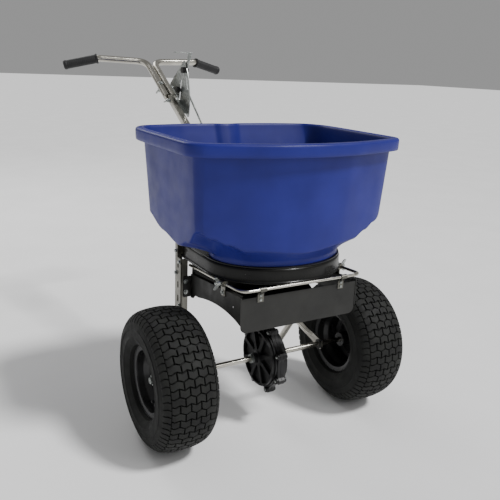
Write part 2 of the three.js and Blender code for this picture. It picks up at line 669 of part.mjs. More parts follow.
function ringPoints(radius, count) {
  return Array.from({ length: count }, (_, i) => {
    const turn = 2 * Math.PI * i / count;
    return [radius * Math.cos(turn), radius * Math.sin(turn)];
  });
}

// One half of the gear case, made for the +X side: disc, lugs, ribs, hub collar, hollow inside.
function gearCase() {
  const depth = GEARBOX_HALF_WIDTH - 0.2;
  const lugs = [];
  const ribs = [];
  for (let i = 0; i < GEARBOX_LUGS; i++) {
    const turn = Math.PI / GEARBOX_LUGS + i * 2 * Math.PI / GEARBOX_LUGS;
    const y = (GEARBOX_RADIUS + 3) * Math.cos(turn);
    const z = (GEARBOX_RADIUS + 3) * Math.sin(turn);
    lugs.push(rod([0, y, z], [14, y, z], 9, 10));
    const rib = outline([[14, -2], [GEARBOX_RADIUS - 6, -2], [GEARBOX_RADIUS - 6, 2], [14, 2]]);
    ribs.push(plateAtX(rib, depth - 1, 6).rotateX(turn));
  }
  const collar = rod([depth - 2, 0, 0], [depth + 15, 0, 0], 15, 16);
  const hollow = rod([-1, 0, 0], [depth - 4, 0, 0], GEARBOX_RADIUS - 7, 24);
  const neckHollow = rod([0, 0, 20], [0, 0, GEARBOX_NECK_TOP - AXLE_HEIGHT + 5], 11, 14);
  const bore = rod([-5, 0, 0], [depth + 30, 0, 0], AXLE_RADIUS + 0.5, 14);
  const body = shape([...caseOutline(GEARBOX_RADIUS, 17, GEARBOX_NECK_TOP), ...lugs, ...ribs, collar],
    [hollow, neckHollow, bore]);
  return body.translate(0.2, 0, AXLE_HEIGHT);
}

piece('gearbox_right_half', gearCase(), satinBlack());
piece('gearbox_left_half', gearCase().rotateZ(Math.PI), satinBlack());

// Outline of a toothed wheel.
function toothed(radius, depth, teeth) {
  const points = [];
  for (let i = 0; i < teeth * 4; i++) {
    const turn = 2 * Math.PI * (i + 0.5) / (teeth * 4);
    const reach = i % 4 < 2 ? radius : radius - depth;
    points.push([reach * Math.cos(turn), reach * Math.sin(turn)]);
  }
  return points;
}

// Face gear on the axle, to the right of the middle so that its teeth meet the pinion above the axle.
const gearTooth = (i) => box([GEAR_FACE_X, -2.6, RING_GEAR_RADIUS - TOOTH_LENGTH],
  [GEAR_FACE_X + TOOTH_DEPTH + 1, 2.6, RING_GEAR_RADIUS - 1]).rotateX(i * 2 * Math.PI / RING_GEAR_TEETH);
const gearBack = GEAR_FACE_X + TOOTH_DEPTH;
const gearDisc = rod([gearBack, 0, 0], [gearBack + 3, 0, 0], RING_GEAR_RADIUS, 30);
const gearHub = rod([4, 0, 0], [gearBack + 1, 0, 0], 14, 16);
const gearBore = rod([-5, 0, 0], [25, 0, 0], AXLE_RADIUS + GAP, 20);
const gearTeeth = Array.from({ length: RING_GEAR_TEETH }, (_, i) => gearTooth(i));
const axleGear = shape([gearDisc, gearHub, ...gearTeeth], [gearBore]);
piece('axle_gear', axleGear.translate(0, 0, AXLE_HEIGHT), zincPlate());

const pinionBore = circle(0, 0, SHAFT_RADIUS + GAP);
const pinionFlat = outline(toothed(PINION_RADIUS, TOOTH_DEPTH, PINION_TEETH), [pinionBore]);
const pinionFoot = AXLE_HEIGHT + RING_GEAR_RADIUS - TOOTH_LENGTH;
piece('pinion', plateAtZ(pinionFlat, pinionFoot, TOOTH_LENGTH, 6), zincPlate());

const shaftTop = AGITATOR_HEIGHT + 12;
piece('impeller_shaft', rod([0, 0, AXLE_HEIGHT + 20], [0, 0, shaftTop], SHAFT_RADIUS, 16), stainless());

// Spreading disc with four curved fins.
function impeller() {
  const disc = plateAtZ(outline(ringPoints(IMPELLER_RADIUS, 36)), IMPELLER_HEIGHT, 3);
  const hub = rod([0, 0, IMPELLER_HEIGHT - 12], [0, 0, IMPELLER_HEIGHT + 20], 15, 20);
  const fin = (turn) => {
    const flat = new THREE.Shape();
    flat.moveTo(24, 0);
    flat.quadraticCurveTo(75, -5, IMPELLER_RADIUS - 6, -32);
    flat.lineTo(IMPELLER_RADIUS - 8, -35);
    flat.quadraticCurveTo(74, -9, 24, -3);
    return plateAtZ(flat, IMPELLER_HEIGHT + 2, 26, 6).rotateZ(turn);
  };
  const fins = [0, 1, 2, 3].map((i) => fin(i * Math.PI / 2));
  const hole = rod([0, 0, IMPELLER_HEIGHT - 20], [0, 0, IMPELLER_HEIGHT + 40], SHAFT_RADIUS + GAP, 20);
  return shape([disc, hub, ...fins], [hole]);
}
piece('impeller', impeller(), satinBlack());

// Bent wire agitator pinned on top of the shaft inside the hopper.
const agitatorHub = rod([0, 0, AGITATOR_HEIGHT - 14], [0, 0, AGITATOR_HEIGHT + 16], 11, 20);
const agitatorArms = bent([[-62, 0, AGITATOR_HEIGHT - 22], [-44, 0, AGITATOR_HEIGHT + 8],
  [44, 0, AGITATOR_HEIGHT + 8], [62, 0, AGITATOR_HEIGHT - 22]], 10, 3, 8);
const agitatorBore = rod([0, 0, AGITATOR_HEIGHT - 30], [0, 0, shaftTop + GAP], SHAFT_RADIUS + GAP, 20);
piece('agitator', shape([agitatorHub, agitatorArms], [agitatorBore]), zincPlate());

// ---------------------------------------------------------------- handle

const along = [0, Math.cos(HANDLE_SLOPE), Math.sin(HANDLE_SLOPE)];
const across = [0, -Math.sin(HANDLE_SLOPE), Math.cos(HANDLE_SLOPE)];

// A point on or off the handle's centre line, by its y along the line, its x and its height above the line.
function onHandle(y, x = 0, above = 0) {
  const z = HANDLE_POINT[1] + Math.tan(HANDLE_SLOPE) * (y - HANDLE_POINT[0]);
  return [x, y + across[1] * above, z + across[2] * above];
}

// A geometry whose +Z is to point away from the handle and whose +Y is to run along it.
function placeOnHandle(geometry, point) {
  return geometry.rotateX(HANDLE_SLOPE).translate(...point);
}

// A rectangular bar along the handle's centre line between two values of y.
function handleBar(halfWidth, halfHeight, y0, y1) {
  const length = (y1 - y0) / along[1];
  return placeOnHandle(new THREE.BoxGeometry(2 * halfWidth, length, 2 * halfHeight), onHandle((y0 + y1) / 2));
}

// Square sleeve that rises from the saddle behind the hopper.
const sleeveInner = SLEEVE_HALF - SLEEVE_WALL;
piece('handle_sleeve', shape([handleBar(SLEEVE_HALF, SLEEVE_HALF, SLEEVE_START_Y, SLEEVE_END_Y)],
  [handleBar(sleeveInner, sleeveInner, SLEEVE_START_Y - 10, SLEEVE_END_Y + 10)]), stainless());

// Tongue held between the ends of the two handle tubes, with a plug that slides in the sleeve.
const plugHalf = sleeveInner - GAP;
const tongueHalfThickness = HANDLE_TUBE_X - HANDLE_TUBE_RADIUS - GAP;
piece('handle_tongue', shape([handleBar(plugHalf, plugHalf, TONGUE_START_Y, HANDLE_TUBE_START_Y - 1),
  handleBar(tongueHalfThickness, plugHalf, HANDLE_TUBE_START_Y - 5, TONGUE_END_Y)]), stainless());

function handleTube(side) {
  const turnOut = onHandle(HANDLE_TURN_Y, side * HANDLE_TUBE_X);
  const gripStart = [side * GRIP_START[0], ...GRIP_START.slice(1)];
  const gripEnd = [side * GRIP_END[0], ...GRIP_END.slice(1)];
  return bent([onHandle(HANDLE_TUBE_START_Y, side * HANDLE_TUBE_X), turnOut, gripStart, gripEnd], 42,
    HANDLE_TUBE_RADIUS, 12, HANDLE_TUBE_RADIUS - HANDLE_TUBE_WALL);
}

// A moulded grip: a closed cup that slides over the end of the tube, with a rounded end and a collar.
function grip(side) {
  const start = new THREE.Vector3(side * GRIP_START[0], ...GRIP_START.slice(1));
  const end = new THREE.Vector3(side * GRIP_END[0], ...GRIP_END.slice(1));
  const direction = end.clone().sub(start).normalize();
  const length = start.distanceTo(end);
  const inner = HANDLE_TUBE_RADIUS + GAP;
  const skin = [[inner, 6], [GRIP_RADIUS + 1, 6], [GRIP_RADIUS + 1, 12], [GRIP_RADIUS - 1, 16],
    [GRIP_RADIUS - 1, length - 8], [GRIP_RADIUS, length - 2], [GRIP_RADIUS - 1, length + 6], [10, length + 9],
    [0, length + 10], [0, length + GAP], [inner, length + GAP]];
  const cup = new THREE.LatheGeometry([...skin, skin[0]].map(([r, y]) => new THREE.Vector2(r, y)), 18);
  cup.applyQuaternion(new THREE.Quaternion().setFromUnitVectors(new THREE.Vector3(0, 1, 0), direction));
  return cup.translate(start.x, start.y, start.z);
}

bothSides((side, name) => {
  piece(`${name}_handle_tube`, handleTube(side), stainless());
  piece(`${name}_grip`, grip(side), rubber());
});

// Wing nuts: one under the left tube, one on the left side of the sleeve where it grips the tongue.
const tubeNut = wingNut().rotateX(Math.PI).rotateZ(0.35);
piece('upper_wing_nut',
  placeOnHandle(tubeNut, onHandle(748, -HANDLE_TUBE_X, -HANDLE_TUBE_RADIUS - GAP)), stainless());
const sleeveNut = wingNut().rotateZ(0.9).rotateY(-Math.PI / 2);
piece('sleeve_wing_nut',
  placeOnHandle(sleeveNut, onHandle(SLEEVE_END_Y - 16, -SLEEVE_HALF - GAP)), stainless());

// ---------------------------------------------------------------- gate control on the handle

// Control plate on the right of the sleeve, in [y, z], with a flange that reaches in to the sleeve's side.
function quadrant() {
  const flat = new THREE.Shape();
  flat.moveTo(604, 786);
  flat.lineTo(640, 806);
  flat.lineTo(758, 876);
  flat.lineTo(756, 890);
  flat.lineTo(644, 966);
  flat.quadraticCurveTo(636, 972, 630, 964);
  flat.bezierCurveTo(598, 924, 580, 870, 594, 796);
  flat.quadraticCurveTo(597, 786, 604, 786);
  flat.holes.push(slot([660, 903], [673, 843], 4.2));
  flat.holes.push(slot([617, 918], [609, 880], 3));
  flat.holes.push(circle(...LEVER_PIVOT, 5));
  const flange = box([SLEEVE_HALF + GAP, -40, -1.2], [QUADRANT_X + 1, 40, 1.2]);
  return shape([plateAtX(flat, QUADRANT_X, QUADRANT_THICKNESS), placeOnHandle(flange, onHandle(646, 0, -4))]);
}
piece('quadrant_plate', quadrant(), zincPlate());

// Lever: a strap beside the plate with a folded tab on top, and an arm down to the gate rod.
function lever() {
  const [y, z] = LEVER_PIVOT;
  const [rodY, rodZ] = GATE_ROD_TOP;
  const strap = outline([[y - 10, z], [y - 42, z + 50], [y - 42, z + 56], [y - 22, z + 56], [y + 8, z + 8],
    [rodY + 10, rodZ + 2], [rodY + 4, rodZ - 9], [rodY - 9, rodZ - 6]],
  [circle(y, z, 4.5), circle(rodY, rodZ, GATE_ROD_RADIUS + 3.2)]);
  const tab = box([-24, y - 42, z + 53], [LEVER_X + LEVER_THICKNESS, y - 22, z + 56]);
  return shape([plateAtX(strap, LEVER_X, LEVER_THICKNESS), tab]);
}
piece('control_lever', lever(), zincPlate());

// Pivot bolt and its black moulded boss on the near side of the plate.
const pivotX = LEVER_X + LEVER_THICKNESS;
piece('lever_pivot', shape([
  rod([QUADRANT_X - 12, ...LEVER_PIVOT], [QUADRANT_X - GAP, ...LEVER_PIVOT], 10, 16),
  rod([QUADRANT_X - 2, ...LEVER_PIVOT], [pivotX + 1, ...LEVER_PIVOT], 4, 16),
  rod([pivotX + GAP, ...LEVER_PIVOT], [pivotX + 5, ...LEVER_PIVOT], 8, 6)]), satinBlack());

// Stop knob that clamps in the curved slot.
const stopBoltEnd = QUADRANT_X + QUADRANT_THICKNESS + 2;
piece('stop_knob', shape([
  rod([QUADRANT_X - 16, ...STOP_PLACE], [QUADRANT_X - GAP, ...STOP_PLACE], 11, 16),
  rod([QUADRANT_X - 2, ...STOP_PLACE], [stopBoltEnd, ...STOP_PLACE], 3.5, 12)]), satinBlack());

// Rod from the lever down to the gate's strap. Its top end turns into the lever, its foot into the strap.
const gateRodLine = [[pivotX - LEVER_THICKNESS - 0.5, ...GATE_ROD_TOP], [GATE_ROD_X, ...GATE_ROD_TOP],
  [GATE_ROD_X, ...GATE_ROD_FOOT]];
piece('gate_rod', bent(gateRodLine, 4, GATE_ROD_RADIUS, 8), zincPlate());

// ---------------------------------------------------------------- origin

const bounds = new THREE.Box3().setFromObject(assembly);
assembly.position.set(0, -(bounds.min.y + bounds.max.y) / 2, -bounds.min.z);

export default assembly;
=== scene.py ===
import math

import bpy
import bmesh
from mathutils import Matrix, Vector
from mathutils.geometry import tessellate_polygon


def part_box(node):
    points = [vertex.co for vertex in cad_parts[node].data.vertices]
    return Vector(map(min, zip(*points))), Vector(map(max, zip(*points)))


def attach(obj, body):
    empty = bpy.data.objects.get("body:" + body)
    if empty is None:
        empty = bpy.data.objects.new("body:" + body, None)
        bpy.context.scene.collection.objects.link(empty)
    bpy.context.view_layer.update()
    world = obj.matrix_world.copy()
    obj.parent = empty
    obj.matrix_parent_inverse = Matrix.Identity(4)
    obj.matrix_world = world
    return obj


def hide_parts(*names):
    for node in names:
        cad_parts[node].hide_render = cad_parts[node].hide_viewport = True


# A walk-behind salt spreader. Lengths are millimetres measured from the middle of the axle line at ground
# level, and at() turns them into the row frame's metres. It is pushed towards -Y and +Z is up.

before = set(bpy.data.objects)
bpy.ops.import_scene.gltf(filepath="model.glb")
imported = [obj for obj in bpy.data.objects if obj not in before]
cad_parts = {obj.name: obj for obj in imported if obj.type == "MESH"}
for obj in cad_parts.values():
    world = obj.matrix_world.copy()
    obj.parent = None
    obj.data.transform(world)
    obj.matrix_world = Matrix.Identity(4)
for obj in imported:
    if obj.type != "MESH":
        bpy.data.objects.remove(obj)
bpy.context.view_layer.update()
AXLE_LOW, AXLE_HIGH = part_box("axle")
AXLE_Y = (AXLE_LOW.y + AXLE_HIGH.y) / 2
MM = 0.001
SIDES = ((-1, "left"), (1, "right"))
X_AXIS, Y_AXIS, Z_AXIS = (1, 0, 0), (0, 1, 0), (0, 0, 1)


def at(x, y, z):
    return Vector((x * MM, y * MM + AXLE_Y, z * MM))


# ---------------- materials

class Shader:
    """A Principled material whose colour, roughness and bump come from noise in the row frame."""

    def __init__(self, name, metallic=0.0, coat=0.0, specular=0.5):
        self.material = bpy.data.materials.new(name)
        self.material.use_nodes = True
        self.tree = self.material.node_tree
        self.principled = self.tree.nodes["Principled BSDF"]
        self.principled.inputs["Metallic"].default_value = metallic
        self.principled.inputs["Coat Weight"].default_value = coat
        self.principled.inputs["Coat Roughness"].default_value = 0.12
        self.principled.inputs["Specular IOR Level"].default_value = specular
        self.coordinates = self.tree.nodes.new("ShaderNodeTexCoord").outputs["Object"]
        self.normal = None

    def node(self, kind, values, links):
        """A new node with values on some inputs and links into others."""
        node = self.tree.nodes.new(kind)
        for name, value in values.items():
            node.inputs[name].default_value = value
        for name, output in links.items():
            self.tree.links.new(output, node.inputs[name])
        return node

    def noise(self, scale, detail=4.0, stretch=(1, 1, 1)):
        mapping = self.node("ShaderNodeMapping", {"Scale": stretch}, {"Vector": self.coordinates})
        place = {"Vector": mapping.outputs["Vector"]}
        return self.node("ShaderNodeTexNoise", {"Scale": scale, "Detail": detail}, place).outputs["Fac"]

    def cells(self, scale):
        node = self.node("ShaderNodeTexVoronoi", {"Scale": scale}, {"Vector": self.coordinates})
        return self.node("ShaderNodeSeparateColor", {}, {"Color": node.outputs["Color"]}).outputs["Red"]

    def colour(self, fac, dark, light, low=0.3, high=0.7):
        ramp = self.node("ShaderNodeValToRGB", {}, {"Fac": fac})
        for element, position, value in zip(ramp.color_ramp.elements, (low, high), (dark, light)):
            element.position = position
            element.color = (*value, 1)
        self.tree.links.new(ramp.outputs["Color"], self.principled.inputs["Base Color"])
        return self

    def roughness(self, fac, low, high):
        limits = {"From Min": 0.3, "From Max": 0.7, "To Min": low, "To Max": high}
        spread = self.node("ShaderNodeMapRange", limits, {"Value": fac})
        self.tree.links.new(spread.outputs["Result"], self.principled.inputs["Roughness"])
        return self

    def bump(self, fac, strength, depth=0.0004):
        """Raises the surface, on top of any bump that is there already."""
        links = {"Height": fac, "Normal": self.normal} if self.normal else {"Height": fac}
        node = self.node("ShaderNodeBump", {"Strength": strength, "Distance": depth}, links)
        self.normal = node.outputs["Normal"]
        self.tree.links.new(self.normal, self.principled.inputs["Normal"])
        return self


def blue_poly():
    s = Shader("blue_poly", specular=0.22)
    s.colour(s.noise(9), (0.0125, 0.0145, 0.150), (0.018, 0.021, 0.200))
    s.roughness(s.noise(26), 0.34, 0.46)
    return s.bump(s.noise(5, 2), 0.25, 0.004).bump(s.noise(900, 2), 0.12, 0.0003).material


def tyre_rubber():
    s = Shader("tyre_rubber", specular=0.25)
    s.colour(s.noise(30, 6), (0.007, 0.007, 0.007), (0.019, 0.020, 0.018))
    s.roughness(s.noise(60), 0.62, 0.85)
    return s.bump(s.noise(700, 3), 0.35, 0.0004).material


def grip_rubber():
    s = Shader("grip_rubber", specular=0.4)
    s.colour(s.noise(40), (0.008, 0.008, 0.009), (0.018, 0.018, 0.019))
    s.roughness(s.noise(80), 0.5, 0.68)
    return s.bump(s.noise(1200, 2), 0.3, 0.0003).material


def bright_stainless():
    s = Shader("bright_stainless", metallic=1.0)
    s.colour(s.noise(14), (0.40, 0.385, 0.34), (0.58, 0.56, 0.50))
    s.roughness(s.noise(30, 5), 0.16, 0.30)
    return s.bump(s.noise(500, 2, (1, 1, 0.2)), 0.08, 0.0002).material


def brushed_stainless():
    s = Shader("brushed_stainless", metallic=1.0)
    s.colour(s.noise(10, 5), (0.13, 0.127, 0.112), (0.24, 0.233, 0.205))
    s.roughness(s.noise(50, 4, (6, 0.6, 0.6)), 0.28, 0.46)
    return s.bump(s.noise(420, 3, (5, 0.25, 0.25)), 0.22, 0.0003).material


def zinc():
    s = Shader("zinc", metallic=0.9)
    s.colour(s.cells(160), (0.25, 0.27, 0.26), (0.50, 0.52, 0.50), 0.0, 1.0)
    s.roughness(s.noise(45, 4), 0.28, 0.48)
    return s.bump(s.noise(350, 3), 0.15, 0.0003).material


def gloss_black():
    s = Shader("gloss_black", coat=0.22, specular=0.1)
    s.colour(s.noise(12), (0.004, 0.004, 0.004), (0.009, 0.009, 0.008))
    s.roughness(s.noise(25, 5), 0.24, 0.38)
    return s.bump(s.noise(160, 2), 0.06, 0.0006).material


def matt_black():
    s = Shader("matt_black", specular=0.4)
    s.colour(s.noise(11, 6), (0.010, 0.010, 0.009), (0.019, 0.019, 0.0165))
    s.roughness(s.noise(36, 5), 0.44, 0.62)
    return s.bump(s.noise(1000, 2), 0.25, 0.0003).bump(s.noise(18, 3), 0.15, 0.0015).material


def case_black():
    s = Shader("case_black", specular=0.3)
    s.colour(s.noise(20, 5), (0.005, 0.005, 0.0055), (0.011, 0.011, 0.0115))
    s.roughness(s.noise(50, 4), 0.34, 0.52)
    return s.bump(s.noise(600, 3), 0.25, 0.0003).material


def painted_rim():
    s = Shader("painted_rim", coat=0.15, specular=0.35)
    s.colour(s.noise(18), (0.006, 0.006, 0.007), (0.014, 0.014, 0.014))
    s.roughness(s.noise(40, 5), 0.24, 0.42)
    return s.bump(s.noise(300, 2), 0.08, 0.0004).material


BLUE = blue_poly()
TYRE = tyre_rubber()
GRIP = grip_rubber()
BRIGHT = bright_stainless()
BRUSHED = brushed_stainless()
ZINC = zinc()
GLOSS = gloss_black()
MATT = matt_black()
CASE = case_black()
RIM = painted_rim()


# ---------------- solid helpers
# Each helper returns (points, faces) with points in axle-centred millimetres.

def mirrored(part):
    points, faces = part
    return [(-x, y, z) for x, y, z in points], faces


def for_side(side, part):
    return part if side > 0 else mirrored(part)


def moved(part, x, y, z):
    return [(p[0] + x, p[1] + y, p[2] + z) for p in part[0]], part[1]


def turned_by(part, matrix):
    return [tuple(matrix @ Vector(p)) for p in part[0]], part[1]


def joined(parts):
    points, faces = [], []
    for more, polygons in parts:
        start = len(points)
        points += more
        faces += [tuple(i + start for i in polygon) for polygon in polygons]
    return points, faces


def placed(name, data):
    """A new object in the scene."""
    obj = bpy.data.objects.new(name, data)
    bpy.context.scene.collection.objects.link(obj)
    return obj


def add(name, parts, material, body, bevel=0.0, nodes=(), sharp=32):
    """One visual piece made of parts, riding on a body and standing for CAD nodes."""
    points, faces = joined(parts)
    mesh = bpy.data.meshes.new(name)
    mesh.from_pydata([at(*p) for p in points], [], faces)
    shell = bmesh.new()
    shell.from_mesh(mesh)
    bmesh.ops.recalc_face_normals(shell, faces=shell.faces)
    shell.to_mesh(mesh)
    shell.free()
    mesh.materials.append(material)
    mesh.shade_smooth()
    obj = placed(name, mesh)
    if bevel:
        edge = obj.modifiers.new("bevel", "BEVEL")
        edge.width = bevel * MM
        edge.segments = 2
        edge.limit_method = "ANGLE"
        edge.angle_limit = math.radians(sharp)
        obj.modifiers.new("normals", "WEIGHTED_NORMAL")
    else:
        mesh.set_sharp_from_angle(angle=math.radians(sharp))
    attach(obj, body)
    if nodes:
        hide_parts(*nodes)
    return obj


def rings(loops, closed=False, caps=True):
    """A skin over loops of equal length. A closed skin joins the last loop to the first."""
    count = len(loops[0])
    points = [p for loop in loops for p in loop]
    faces = []
    for r in range(len(loops) if closed else len(loops) - 1):
        below, above = r * count, (r + 1) % len(loops) * count
        for i in range(count):
            j = (i + 1) % count
            faces.append((below + i, below + j, above + j, above + i))
    if caps and not closed:
        faces.append(tuple(range(count)))
        faces.append(tuple(range(len(points) - count, len(points))))
    return points, faces


def axes_of(direction):
    w = Vector(direction).normalized()
    u = w.orthogonal().normalized()
    return u, w.cross(u), w


def turn(profile, origin, direction, segments=48, closed=True):
    """A profile of (radius, distance along) turned about an axis. A closed profile makes a ring."""
    u, v, w = axes_of(direction)
    start = Vector(origin)
    loops = []
    for radius, along in profile:
        loop = []
        for i in range(segments):
            angle = 2 * math.pi * i / segments
            loop.append(tuple(start + w * along + (u * math.cos(angle) + v * math.sin(angle)) * radius))
        loops.append(loop)
    return rings(loops, closed)


def spindle(profile, origin, direction, segments=32):
    """A turned profile closed by flat ends at its first and last circles."""
    return turn(profile, origin, direction, segments, closed=False)


def disc(origin, direction, radius, height, segments=32, edge=0.0):
    """A short cylinder with a chamfered far edge."""
    top = [(radius, height - edge), (radius - edge, height)] if edge else [(radius, height)]
    return spindle([(radius, 0), *top], origin, direction, segments)


def slab(loops, axis, low, thickness):
    """Flat outlines extruded: the first loop is the outside and the rest are holes."""
    places = {"x": lambda u, v, w: (w, u, v), "y": lambda u, v, w: (u, w, v), "z": lambda u, v, w: (u, v, w)}
    place = places[axis]
    triangles = tessellate_polygon([[Vector((u, v, 0)) for u, v in loop] for loop in loops])
    flat = [p for loop in loops for p in loop]
    count = len(flat)
    points = [place(u, v, low) for u, v in flat] + [place(u, v, low + thickness) for u, v in flat]
    faces = [tuple(t) for t in triangles] + [tuple(i + count for i in t) for t in triangles]
    start = 0
    for loop in loops:
        for i in range(len(loop)):
            a, b = start + i, start + (i + 1) % len(loop)
            faces.append((a, b, b + count, a + count))
        start += len(loop)
    return points, faces


def rectangle(u0, v0, u1, v1):
    return [(u0, v0), (u1, v0), (u1, v1), (u0, v1)]


def block(low, high):
    return slab([rectangle(*low[:2], *high[:2])], "z", low[2], high[2] - low[2])


def polar(radius, degrees):
    return radius * math.cos(math.radians(degrees)), radius * math.sin(math.radians(degrees))


def arc(u, v, radius, start, end, steps=8):
    turns = [math.radians(start + (end - start) * i / steps) for i in range(steps + 1)]
    return [(u + radius * math.cos(t), v + radius * math.sin(t)) for t in turns]


def circle(u, v, radius, steps=24):
    return arc(u, v, radius, 0, 360, steps)[:-1]


def slot(a, b, radius):
    angle = math.degrees(math.atan2(b[1] - a[1], b[0] - a[0]))
    return arc(*b, radius, angle - 90, angle + 90) + arc(*a, radius, angle + 90, angle + 270)


def quadratic(a, b, c, t):
    """The place t of the way along a curve from a to c that is drawn towards b."""
    return (1 - t) ** 2 * a + 2 * t * (1 - t) * b + t * t * c


def rounded(points, radius, steps=4):
    """A polygon with its corners rounded by a quadratic curve."""
    result = []
    for i, corner in enumerate(points):
        here = Vector(corner)
        before, after = Vector(points[i - 1]) - here, Vector(points[(i + 1) % len(points)]) - here
        reach = min(radius, before.length / 2.1, after.length / 2.1)
        a, b = here + before.normalized() * reach, here + after.normalized() * reach
        result += [tuple(quadratic(a, here, b, k / steps)) for k in range(steps + 1)]
    return result


def bezier(a, b, c, d, steps=14):
    a, b, c, d = map(Vector, (a, b, c, d))
    result = []
    for i in range(steps + 1):
        t = i / steps
        near, far = 3 * t * (1 - t) ** 2, 3 * t * t * (1 - t)
        result.append(tuple((1 - t) ** 3 * a + near * b + far * c + t ** 3 * d))
    return result


def bend_path(corners, radius, steps=10):
    """Points along straight runs joined by bends."""
    corners = [Vector(c) for c in corners]
    path = [corners[0]]
    for before, here, after in zip(corners, corners[1:], corners[2:]):
        a, b = (before - here).normalized(), (after - here).normalized()
        reach = radius * math.tan((math.pi - a.angle(b)) / 2)
        start, end = here + a * reach, here + b * reach
        path += [quadratic(start, here, end, k / steps) for k in range(steps + 1)]
    path.append(corners[-1])
    return path


def sweep(path, section, upright=X_AXIS):
    """Carries a section, given as a function of the place along the path, down a path of points."""
    up = Vector(upright)
    loops = []
    for i, point in enumerate(path):
        forward = (path[min(i + 1, len(path) - 1)] - path[max(i - 1, 0)]).normalized()
        up = (up - forward * up.dot(forward)).normalized()
        side = forward.cross(up)
        loops.append([tuple(point + up * a + side * b) for a, b in section(i / (len(path) - 1))])
    return loops


def tube(corners, bend, radius, sides=20, upright=Z_AXIS, hollow=0.0):
    path = bend_path(corners, bend) if len(corners) > 2 else [Vector(c) for c in corners]
    outside = sweep(path, lambda t: circle(0, 0, radius, sides), upright)
    if not hollow:
        return rings(outside)
    inside = sweep(path, lambda t: circle(0, 0, hollow, sides), upright)
    return rings(outside + inside[::-1], closed=True)


def bolt(origin, direction, across=6.0, height=4.5, washer=8.5):
    """A hexagon head on a washer."""
    w = Vector(direction).normalized()
    sheet = 1.2
    profile = [(across, 0), (across, height - 0.8), (across - 1.2, height)]
    hexagon = spindle(profile, Vector(origin) + w * sheet, w, 6)
    return joined([disc(origin, w, washer, sheet, 20, 0.3), hexagon])


def pan_screw(origin, direction, radius=4.5):
    dome = [(radius, 0), (radius, 0.8), (radius * 0.8, 2.0), (radius * 0.35, 2.5), (0.6, 1.6)]
    return spindle(dome, origin, direction, 18)


def wing_nut(origin, direction, spin=0.6):
    """A wing nut standing on origin with its axis along direction."""
    u, v, w = axes_of(direction)
    ear = rounded([(2, 1.5), (8, 3), (16, 9), (17.5, 15), (12.5, 16.5), (4, 9)], 3)
    parts = [spindle([(7, 0), (7, 1), (5.2, 9), (3.4, 9.2), (3.4, 13)], (0, 0, 0), Z_AXIS, 20)]
    for half in (0, math.pi):
        plate = slab([ear], "y", -1.3, 2.6)
        parts.append(turned_by(plate, Matrix.Rotation(spin + half, 3, "Z")))
    place = Matrix((u, v, w)).transposed()
    return moved(turned_by(joined(parts), place), *origin)


# ---------------- hopper

# The +X half of the rim seen from above, from the front to the back.
RIM_PLAN = [(0, -212), (110, -202), (228, -170), (275, -150), (300, -112), (303, 0), (302, 185), (262, 255),
            (150, 281), (44, 286), (15, 279), (0, 277)]
# How high the wall ends at angles round the hopper from the front, in degrees.
WALL_FOOT = [(0, 534), (45, 547), (54, 564), (60, 579), (68, 594), (73, 591), (80, 560), (93, 537),
             (110, 552), (124, 578), (150, 592), (180, 602)]
RIM_TOP, LIP_FOOT, OVERHANG, WALL = 798, 768, 22, 4.5
NECK_CENTRE_Y, NECK_WIDE, NECK_DEEP, NECK_TOP, NECK_FOOT = -20, 180, 132, 510, 497.4
# The hollow under the wall's crest, and how far above its foot the wall starts to turn in.
SCOOP_ANGLE, SCOOP_SPREAD, TURN_RISE, TURN_STEPS = 62, 15, 6, 5
# The lip's outside, [distance in from the rim, height].
LIP = [(9, RIM_TOP), (3.5, RIM_TOP - 0.8), (0.8, RIM_TOP - 3.2), (0, RIM_TOP - 7), (0.4, LIP_FOOT + 8),
       (1.0, LIP_FOOT + 1.5), (2.2, LIP_FOOT), (WALL, LIP_FOOT + 0.5), (WALL + 1, LIP_FOOT + 4)]


def foot_height(angle):
    for (k0, v0), (k1, v1) in zip(WALL_FOOT, WALL_FOOT[1:]):
        if angle <= k1:
            t = (angle - k0) / (k1 - k0)
            return v0 + (v1 - v0) * (0.5 - 0.5 * math.cos(math.pi * max(0, t)))
    return WALL_FOOT[-1][1]


def rim_columns(per_span):
    """Points round the rim with their outward normals."""
    corners = [Vector(p) for p in RIM_PLAN] + [Vector((-x, y)) for x, y in RIM_PLAN[-2:0:-1]]
    count = len(corners)
    points = []
    for i in range(count):
        p0, p1, p2, p3 = (corners[(i + k) % count] for k in (-1, 0, 1, 2))
        t0, t1 = (p2 - p0) * 0.35, (p3 - p1) * 0.35
        for k in range(per_span):
            t = k / per_span
            points.append(p1 * (2 * t ** 3 - 3 * t ** 2 + 1) + t0 * (t ** 3 - 2 * t ** 2 + t)
                          + p2 * (3 * t ** 2 - 2 * t ** 3) + t1 * (t ** 3 - t ** 2))
    columns = []
    for i, p in enumerate(points):
        along = (points[(i + 1) % len(points)] - points[i - 1]).normalized()
        columns.append((p, Vector((along.y, -along.x))))
    return columns


def wall_place(rim, normal, height):
    """Where the wall's outside stands at a height: inside the rim, and leaning in further down."""
    depth = (LIP_FOOT - height) / 200
    lean = 16 if rim.y < 0 else 16 + 42 * min(1, rim.y / 250)
    inset = Vector((normal.x * (OVERHANG + 11 * depth), normal.y * (OVERHANG + lean * depth)))
    return rim - inset


